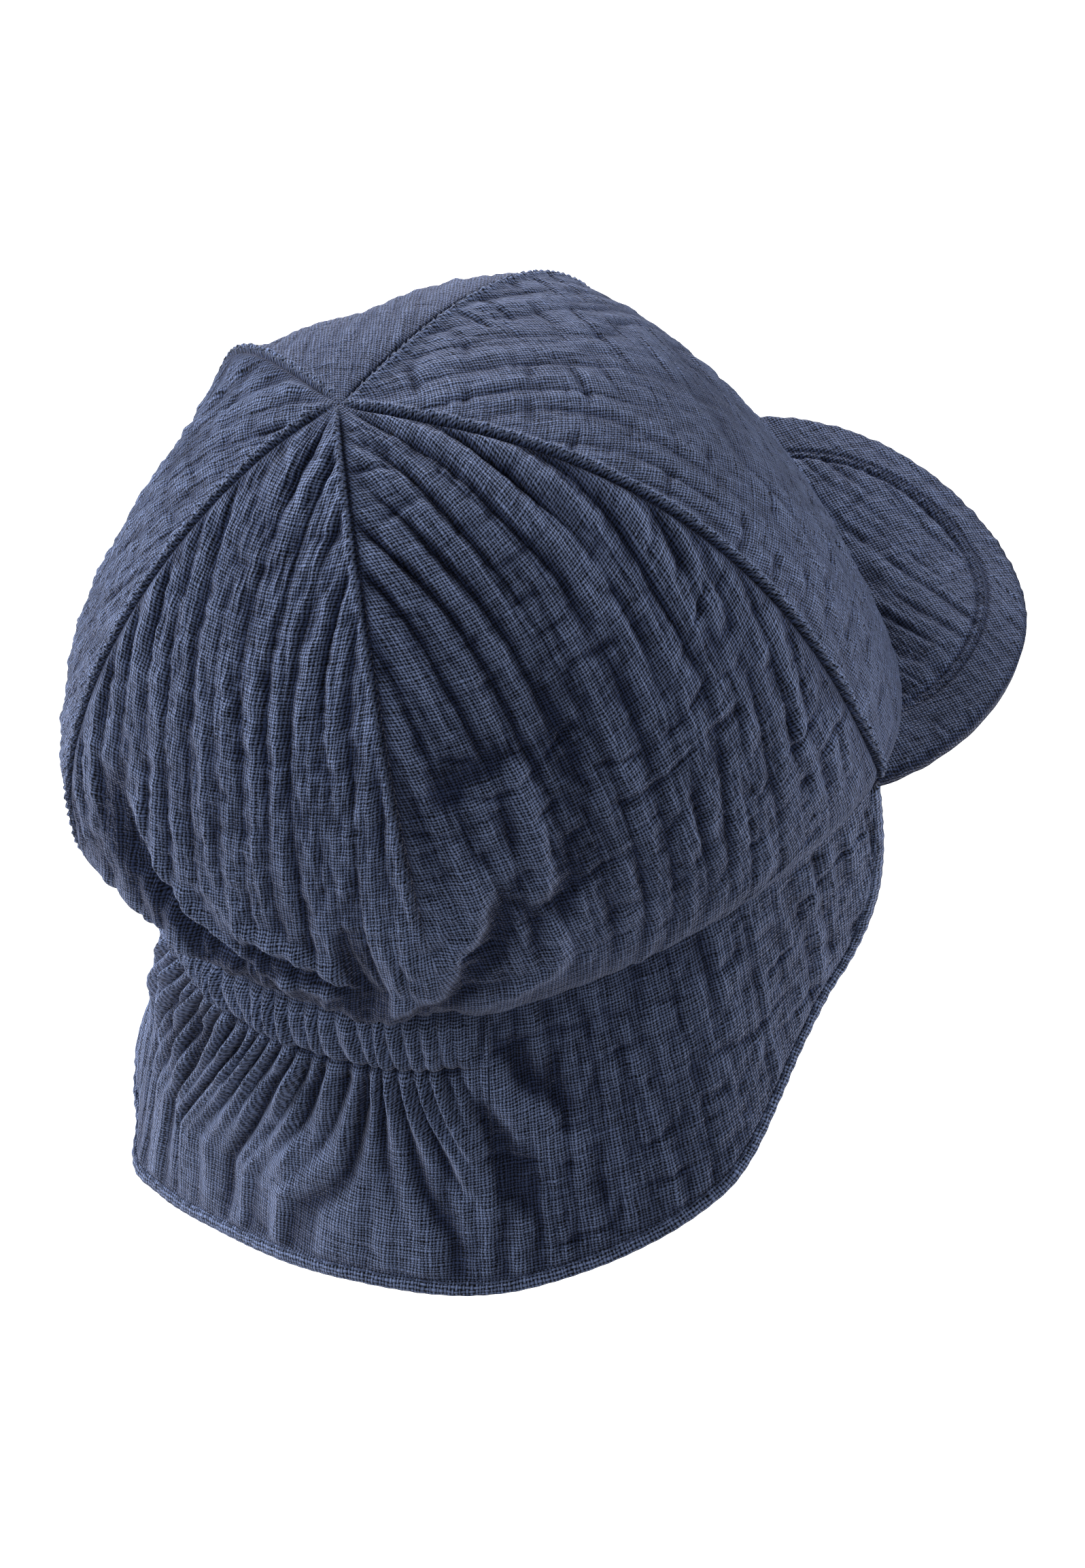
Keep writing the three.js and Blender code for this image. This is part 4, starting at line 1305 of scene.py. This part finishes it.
def muslin_material(scene):
    """Crinkled muslin: painted shade between its threads and in its valleys, and crests paler partly
    as painted light and partly as wear.
    """
    found = bpy.data.materials.get("crinkled muslin")
    if found:
        return found
    values = {
        "Roughness": 0.92,
        "Specular IOR Level": 0.12,
        "Sheen Weight": 0.28,
        "Sheen Roughness": 0.3,
        "Sheen Tint": opaque(SHEEN_TINT),
    }
    material, make, shader = new_material("crinkled muslin", values)
    cloth = {
        "Flat Cloth": make.add("ShaderNodeUVMap", uv_map="flat_cloth").outputs[0],
        "Thread Pitch": scene.cap_sizes.thread_pitch,
        "Waver": THREAD_WAVER,
        "Slubs": THREAD_SLUBS,
    }
    weave = make.add("ShaderNodeGroup", cloth, node_tree=weave_group()).outputs
    patches = {"Position": make.position(), "Patch Size": PATCH_SIZE}
    dye = make.add("ShaderNodeGroup", patches, node_tree=wear_group()).outputs
    # Painted shade from the relief: valleys take the valley shade colour, crests a paler colour that
    # is partly painted light and partly wear.
    crest = make.add("ShaderNodeAttribute", attribute_name="crest").outputs["Fac"]
    look = scene.cap_colours
    relief_shade = make.span(crest, *CREST_SPAN, curve="SMOOTHSTEP")
    colour = make.mix(relief_shade, opaque(look.valley_shade_colour), opaque(look.crest_light_and_wear_colour))
    # Painted shade of the weave: dark in the gaps and where a thread dips under another.
    thread = make.span(weave["Tone"], *THREAD_SPAN)
    tone = make.math("MULTIPLY", thread, make.span(dye["Tone"], *PATCH_SPAN))
    shade = make.add("ShaderNodeCombineColor", {0: tone, 1: tone, 2: tone}).outputs[0]
    make.feed(shader["Base Color"], make.mix(1.0, colour, shade, "MULTIPLY"))
    relief = {"Strength": 0.85, "Distance": 0.00035, "Height": weave["Height"]}
    make.feed(shader["Normal"], make.add("ShaderNodeBump", relief).outputs[0])
    return material


def thread_material(name, colour):
    """Sewing thread: a fine twist along each stitch."""
    values = {"Roughness": 0.85, "Specular IOR Level": 0.15, "Sheen Weight": 0.1}
    material, make, shader = new_material(name, values)
    fibres = make.noise(make.position(), 2600.0, 2.0)
    make.feed(shader["Base Color"], make.mix(fibres, opaque(colour, 0.6), opaque(colour)))
    relief = {"Strength": 0.5, "Distance": 0.0001, "Height": fibres}
    make.feed(shader["Normal"], make.add("ShaderNodeBump", relief).outputs[0])
    return material


def floor_material(colour):
    """A pale floor that also glows, for the camera alone, so that it meets the backdrop."""
    values = {"Roughness": 1.0, "Specular IOR Level": 0.0, "Emission Strength": 1.0}
    material, make, shader = new_material("pale floor", values)
    grain = make.noise(make.position(), 3.0, 1.0)
    make.feed(shader["Base Color"], make.mix(grain, opaque(colour, 0.98), opaque(colour)))
    seen = make.add("ShaderNodeLightPath").outputs["Is Camera Ray"]
    make.feed(shader["Emission Color"], make.mix(seen, opaque((0, 0, 0)), opaque(FLOOR_GLOW)))
    return material


# Stitches and seam edges, made by Geometry Nodes along a path

LEAN_SEED = 5
SWELL_SEED = 9
STITCH_SWELL = (0.85, 1.2)      # the stitches differ in size between these shares
STITCH_INPUTS = {
    "Path": "Geometry",
    "Pitch": "Float",
    "Stitch Length": "Float",
    "Stitch Width": "Float",
    "Stitch Height": "Float",
    "Slant": "Float",
    "Scatter": "Float",
    "Thread": "Material",
}


def stitch_tree():
    """A node tree that lays one small rounded lump at every pitch of a path, turned along it."""
    name = "stitches along a path"
    found = bpy.data.node_groups.get(name)
    if found:
        return found
    make, given, result = new_group(
        name, STITCH_INPUTS, {"Stitches": "Geometry"}, "GeometryNodeTree"
    )

    def output(kind, inputs=(), **settings):
        return make.add(kind, inputs, **settings).outputs[0]

    def scattered(low, high, seed):
        """A random number for each stitch."""
        values = {2: low, 3: high, "Seed": seed}
        return make.add("FunctionNodeRandomValue", values, data_type="FLOAT").outputs[1]

    path = output("GeometryNodeMeshToCurve", {"Mesh": given["Path"]})
    spacing = {"Curve": path, "Length": given["Pitch"]}
    spaced = output("GeometryNodeResampleCurve", spacing, mode="LENGTH")
    outward = output("GeometryNodeInputNamedAttribute", {"Name": "outward"}, data_type="FLOAT_VECTOR")
    tangent = output("GeometryNodeInputTangent")
    along = output("FunctionNodeAlignRotationToVector", {"Vector": tangent}, axis="X")
    upright = output(
        "FunctionNodeAlignRotationToVector",
        {"Rotation": along, "Vector": outward},
        axis="Z",
        pivot_axis="X",
    )
    least = make.math("MULTIPLY", given["Scatter"], -1.0)
    jitter = scattered(least, given["Scatter"], LEAN_SEED)
    lean = output("ShaderNodeCombineXYZ", {"Z": make.math("ADD", given["Slant"], jitter)})
    leaning = output("FunctionNodeEulerToRotation", {"Euler": lean})
    turned = output(
        "FunctionNodeRotateRotation",
        {"Rotation": upright, "Rotate By": leaning},
        rotation_space="LOCAL",
    )
    lump = output("GeometryNodeMeshIcoSphere", {"Radius": 0.5, "Subdivisions": 2})
    sizes = (given["Stitch Length"], given["Stitch Width"], given["Stitch Height"])
    size = output("ShaderNodeCombineXYZ", dict(enumerate(sizes)))
    swell = {0: size, "Scale": scattered(*STITCH_SWELL, SWELL_SEED)}
    scale = output("ShaderNodeVectorMath", swell, operation="SCALE")
    instances = {"Points": spaced, "Instance": lump, "Rotation": turned, "Scale": scale}
    laid = output("GeometryNodeInstanceOnPoints", instances)
    real = output("GeometryNodeRealizeInstances", {"Geometry": laid})
    smooth = output("GeometryNodeSetShadeSmooth", {"Geometry": real})
    done = {"Geometry": smooth, "Material": given["Thread"]}
    make.feed(result[0], output("GeometryNodeSetMaterial", done))
    return make.tree


def path_mesh(name, paths):
    """Paths as loose edges in one mesh, each point with the way out of the cloth beneath it."""
    points = np.concatenate([place for place, _ in paths]) * MM
    outward = np.concatenate([out for _, out in paths])
    edges = []
    first = 0
    for place, _ in paths:
        index = np.arange(first, first + len(place))
        edges.append(np.stack([index[:-1], index[1:]], axis=-1))
        first += len(place)
    mesh = bpy.data.meshes.new(name)
    mesh.from_pydata(points.tolist(), np.concatenate(edges).tolist(), [])
    attribute = mesh.attributes.new("outward", "FLOAT_VECTOR", "POINT")
    attribute.data.foreach_set("vector", outward.astype(np.float32).ravel())
    return placed(name, mesh)


def sew(name, paths, thread, pitch, size, slant, scatter):
    """Lays stitches along paths, and leaves them as one plain mesh."""
    obj = path_mesh(name, paths)
    modifier = obj.modifiers.new("stitches", "NODES")
    modifier.node_group = stitch_tree()
    values = {
        "Pitch": pitch,
        "Stitch Length": size[0] * MM,
        "Stitch Width": size[1] * MM,
        "Stitch Height": size[2] * MM,
        "Slant": math.radians(slant),
        "Scatter": math.radians(scatter),
        "Thread": thread,
    }
    sockets = {item.name: item.identifier for item in modifier.node_group.interface.items_tree}
    for label, value in values.items():
        modifier[sockets[label]] = value
    bpy.context.view_layer.update()
    evaluated = obj.evaluated_get(bpy.context.evaluated_depsgraph_get())
    mesh = bpy.data.meshes.new_from_object(evaluated)
    obj.modifiers.remove(modifier)
    obj.data = mesh
    mesh.name = name
    if not mesh.polygons:
        raise RuntimeError(f"{name} came out with no stitches")
    return obj


def dress(obj, material):
    obj.data.materials.clear()
    obj.data.materials.append(material)
    return obj


def finish_piece(obj, node=None):
    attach(obj, "root")
    if node:
        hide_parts(node)


# Stage

VIEW_AZIMUTH = 250.6            # degrees, from which the photograph looks
VIEW_ELEVATION = 45.24
VIEW_ROLL = -2.29
VIEW_DISTANCE = 1.1
VIEW_LENS = 118.5
VIEW_SHIFT = (0.0412, -0.0093)
VIEW_END = 50
FLOOR_DROP = 0.3                # the floor lies this far below the flap
FLOOR_SIZE = 14
LIGHTS_AIM = (0.0, 0.0, 0.02)
LIGHTS = named(
    ("azimuth", "elevation", "distance", "size", "power"),
    (
        (118, 23, 1.6, 1.0, 50),
        (158, 25, 1.6, 1.0, 28),
        (243, 19, 1.6, 1.0, 10),
        (30, 30, 1.6, 1.0, 7),
        (357, 23, 1.6, 1.0, 36),
    ),
)
WORLD_STRENGTH = 0.12
BACKDROP = (0.9, 0.9, 0.9)      # what the camera sees past the floor
FLOOR_GLOW = (0.86, 0.86, 0.86)     # and what it sees on the floor beside the lamps' light


def direction(azimuth, elevation):
    """The way from the cap towards a camera or light that looks along an azimuth from above."""
    turn, rise = math.radians(azimuth), math.radians(elevation)
    flat = math.cos(rise)
    return Vector((math.sin(turn) * flat, -math.cos(turn) * flat, math.sin(rise)))


def make_floor(colour):
    low = CAD_BOX[0][2] - FLOOR_DROP
    half = FLOOR_SIZE / 2
    corners = [(-half, -half, low), (half, -half, low), (half, half, low), (-half, half, low)]
    mesh = bpy.data.meshes.new("studio_floor")
    mesh.from_pydata(corners, [], [(0, 1, 2, 3)])
    floor = dress(placed("studio_floor", mesh), floor_material(colour))


def make_lights(scene):
    world = bpy.data.worlds.new("studio")
    world.use_nodes = True
    make = Nodes(world.node_tree)
    background = world.node_tree.nodes["Background"]
    make.feed(background.inputs["Color"], opaque((1, 1, 1)))
    make.feed(background.inputs["Strength"], WORLD_STRENGTH)
    backdrop = make.add("ShaderNodeBackground", {"Color": opaque(BACKDROP), "Strength": 1.0})
    seen = make.add("ShaderNodeLightPath").outputs["Is Camera Ray"]
    shaders = {0: seen, 1: background.outputs[0], 2: backdrop.outputs[0]}
    both = make.add("ShaderNodeMixShader", shaders).outputs[0]
    make.feed(world.node_tree.nodes["World Output"].inputs["Surface"], both)
    scene.world = world
    for n, row in enumerate(rows_of(LIGHTS)):
        data = bpy.data.lights.new(f"softbox_{n}", "AREA")
        data.shape = "DISK"
        data.size = row["size"]
        data.energy = row["power"]
        lamp = placed(f"softbox_{n}", data)
        away = direction(row["azimuth"], row["elevation"])
        lamp.location = Vector(LIGHTS_AIM) + away * row["distance"]
        lamp.rotation_euler = away.to_track_quat("Z", "Y").to_euler()
    scene.view_settings.view_transform = "Standard"


def make_camera(scene):
    turn, rise, roll = (math.radians(v) for v in (VIEW_AZIMUTH, VIEW_ELEVATION, VIEW_ROLL))
    right = Vector((math.cos(turn), math.sin(turn), 0.0))
    up = Vector((-math.sin(turn) * math.sin(rise), math.cos(turn) * math.sin(rise), math.cos(rise)))
    back = direction(VIEW_AZIMUTH, VIEW_ELEVATION)
    rolled_right = math.cos(roll) * right + math.sin(roll) * up
    rolled_up = -math.sin(roll) * right + math.cos(roll) * up
    data = bpy.data.cameras.new("photo_view")
    data.lens = VIEW_LENS
    data.shift_x, data.shift_y = VIEW_SHIFT
    data.clip_end = VIEW_END
    camera = placed("photo_view", data)
    place = Matrix.Translation(back * VIEW_DISTANCE)
    camera.matrix_world = place @ Matrix((rolled_right, rolled_up, back)).transposed().to_4x4()
    scene.camera = camera


# Sizes and colours that a user would change


class CapSizes(bpy.types.PropertyGroup):
    rib_depth: FloatProperty(
        name="Rib depth",
        description="How deep the muslin's crinkles are, as a share of those of the sample cloth",
        default=1.0,
        min=0.0,
        max=1.5,
        subtype="FACTOR",
    )
    thread_pitch: FloatProperty(
        name="Thread pitch",
        description="Distance between neighbouring threads of the gauze",
        default=0.00068,
        precision=5,
        subtype="DISTANCE",
        unit="LENGTH",
    )
    cord_pitch: FloatProperty(
        name="Seam twist",
        description="Distance between the turns of the overlocked edge that shows in the seams",
        default=0.0019,
        precision=5,
        subtype="DISTANCE",
        unit="LENGTH",
    )


class CapColours(bpy.types.PropertyGroup):
    # Crest colour: the muslin's own colour, paler on its crests partly from wear and partly as painted
    # light.
    crest_light_and_wear_colour: FloatVectorProperty(
        name="Crests",
        description="Colour of the muslin where it stands up to the light",
        default=(0.049, 0.064, 0.113),
        subtype="COLOR",
        min=0.0,
        max=1.0,
    )
    # Valley colour: painted shade, darker than the muslin's own colour, for its creases and valleys.
    valley_shade_colour: FloatVectorProperty(
        name="Valleys",
        description="Colour of the muslin down in its creases",
        default=(0.010, 0.0145, 0.033),
        subtype="COLOR",
        min=0.0,
        max=1.0,
    )
    seam_colour: FloatVectorProperty(
        name="Seam thread",
        description="Colour of the overlocking in the crown's seams",
        default=(0.044, 0.057, 0.1),
        subtype="COLOR",
        min=0.0,
        max=1.0,
    )
    stitch_colour: FloatVectorProperty(
        name="Hem stitches",
        description="Colour of the blue thread that shows along the hem",
        default=(0.035, 0.05, 0.105),
        subtype="COLOR",
        min=0.0,
        max=1.0,
    )
    floor_colour: FloatVectorProperty(
        name="Floor",
        description="Colour of the studio floor",
        default=(0.45, 0.45, 0.45),
        subtype="COLOR",
        min=0.0,
        max=1.0,
    )


class CAP_OT_crown(bpy.types.Operator):
    """Makes the five gores of the crown, gathered towards the nape"""

    bl_idname = "cap.crown"
    bl_label = "Crown"

    def execute(self, context):
        material = muslin_material(context.scene)
        for index, node in enumerate(GORES):
            piece, (width, length), area = make_gore(index, context.scene.cap_sizes.rib_depth)
            finish_piece(dress(piece, material), node=node)
        return {"FINISHED"}


class CAP_OT_seams(bpy.types.Operator):
    """Lays the twisted edge that stands up beside each seam of the crown"""

    bl_idname = "cap.seams"
    bl_label = "Crown seams"

    def execute(self, context):
        sizes = context.scene.cap_sizes
        thread = thread_material("seam thread", context.scene.cap_colours.seam_colour)
        paths = [seam_path(index, sizes.rib_depth) for index in range(len(GORES))]
        turns = (sizes.cord_pitch, SEAM_TWIST, SEAM_TWIST_SLANT, SEAM_TWIST_SCATTER)
        finish_piece(sew("crown_seam_edges", paths, thread, *turns))
        return {"FINISHED"}


class CAP_OT_flap(bpy.types.Operator):
    """Makes the elastic tunnel, the neck flap and its rolled hem with the hem's stitches"""

    bl_idname = "cap.flap"
    bl_label = "Tunnel and flap"

    def execute(self, context):
        material = muslin_material(context.scene)
        depth = context.scene.cap_sizes.rib_depth
        tunnel = make_tunnel(depth)
        finish_piece(dress(tunnel, material), node="elastic_tunnel")
        hem = make_hem()
        finish_piece(dress(hem, material), node="flap_hem")
        flap = make_flap(depth)
        finish_piece(dress(flap, material), node="neck_flap")
        thread = thread_material("blue thread", context.scene.cap_colours.stitch_colour)
        stitches = (HEM_STITCH_PITCH * MM, HEM_STITCH, 0, HEM_STITCH_SCATTER)
        finish_piece(sew("hem_stitches", [hem_stitch_path()], thread, *stitches))
        return {"FINISHED"}


class CAP_OT_peak(bpy.types.Operator):
    """Makes the peak's middle and border, either side of its stitched line"""

    bl_idname = "cap.peak"
    bl_label = "Peak"

    def execute(self, context):
        material = muslin_material(context.scene)
        depth = context.scene.cap_sizes.rib_depth
        field, field_area = make_field(depth)
        finish_piece(dress(field, material), node="peak_field")
        border, border_area = make_border(depth)
        finish_piece(dress(border, material), node="peak_border")
        return {"FINISHED"}


class CAP_OT_stage(bpy.types.Operator):
    """Sets up the pale floor, the soft lights and the camera"""

    bl_idname = "cap.stage"
    bl_label = "Studio"

    def execute(self, context):
        make_floor(context.scene.cap_colours.floor_colour)
        make_lights(context.scene)
        make_camera(context.scene)
        return {"FINISHED"}


class CAP_PT_panel(bpy.types.Panel):
    """Lists the steps that build the cap"""

    bl_label = "Muslin cap"
    bl_idname = "CAP_PT_panel"
    bl_space_type = "VIEW_3D"
    bl_region_type = "UI"
    bl_category = "Cap"

    def draw(self, context):
        for group in (context.scene.cap_sizes, context.scene.cap_colours):
            for name in group.__annotations__:
                self.layout.prop(group, name)
        for operator in OPERATORS:
            self.layout.operator(operator.bl_idname)


OPERATORS = (CAP_OT_crown, CAP_OT_seams, CAP_OT_flap, CAP_OT_peak, CAP_OT_stage)
CLASSES = (CapSizes, CapColours, *OPERATORS, CAP_PT_panel)


def register():
    for item in CLASSES:
        bpy.utils.register_class(item)
    bpy.types.Scene.cap_sizes = PointerProperty(type=CapSizes)
    bpy.types.Scene.cap_colours = PointerProperty(type=CapColours)


def unregister():
    del bpy.types.Scene.cap_colours
    del bpy.types.Scene.cap_sizes
    for item in reversed(CLASSES):
        bpy.utils.unregister_class(item)


def main():
    register()
    bpy.ops.cap.crown()
    bpy.ops.cap.seams()
    bpy.ops.cap.flap()
    bpy.ops.cap.peak()
    bpy.ops.cap.stage()


if __name__ == "__main__":
    main()
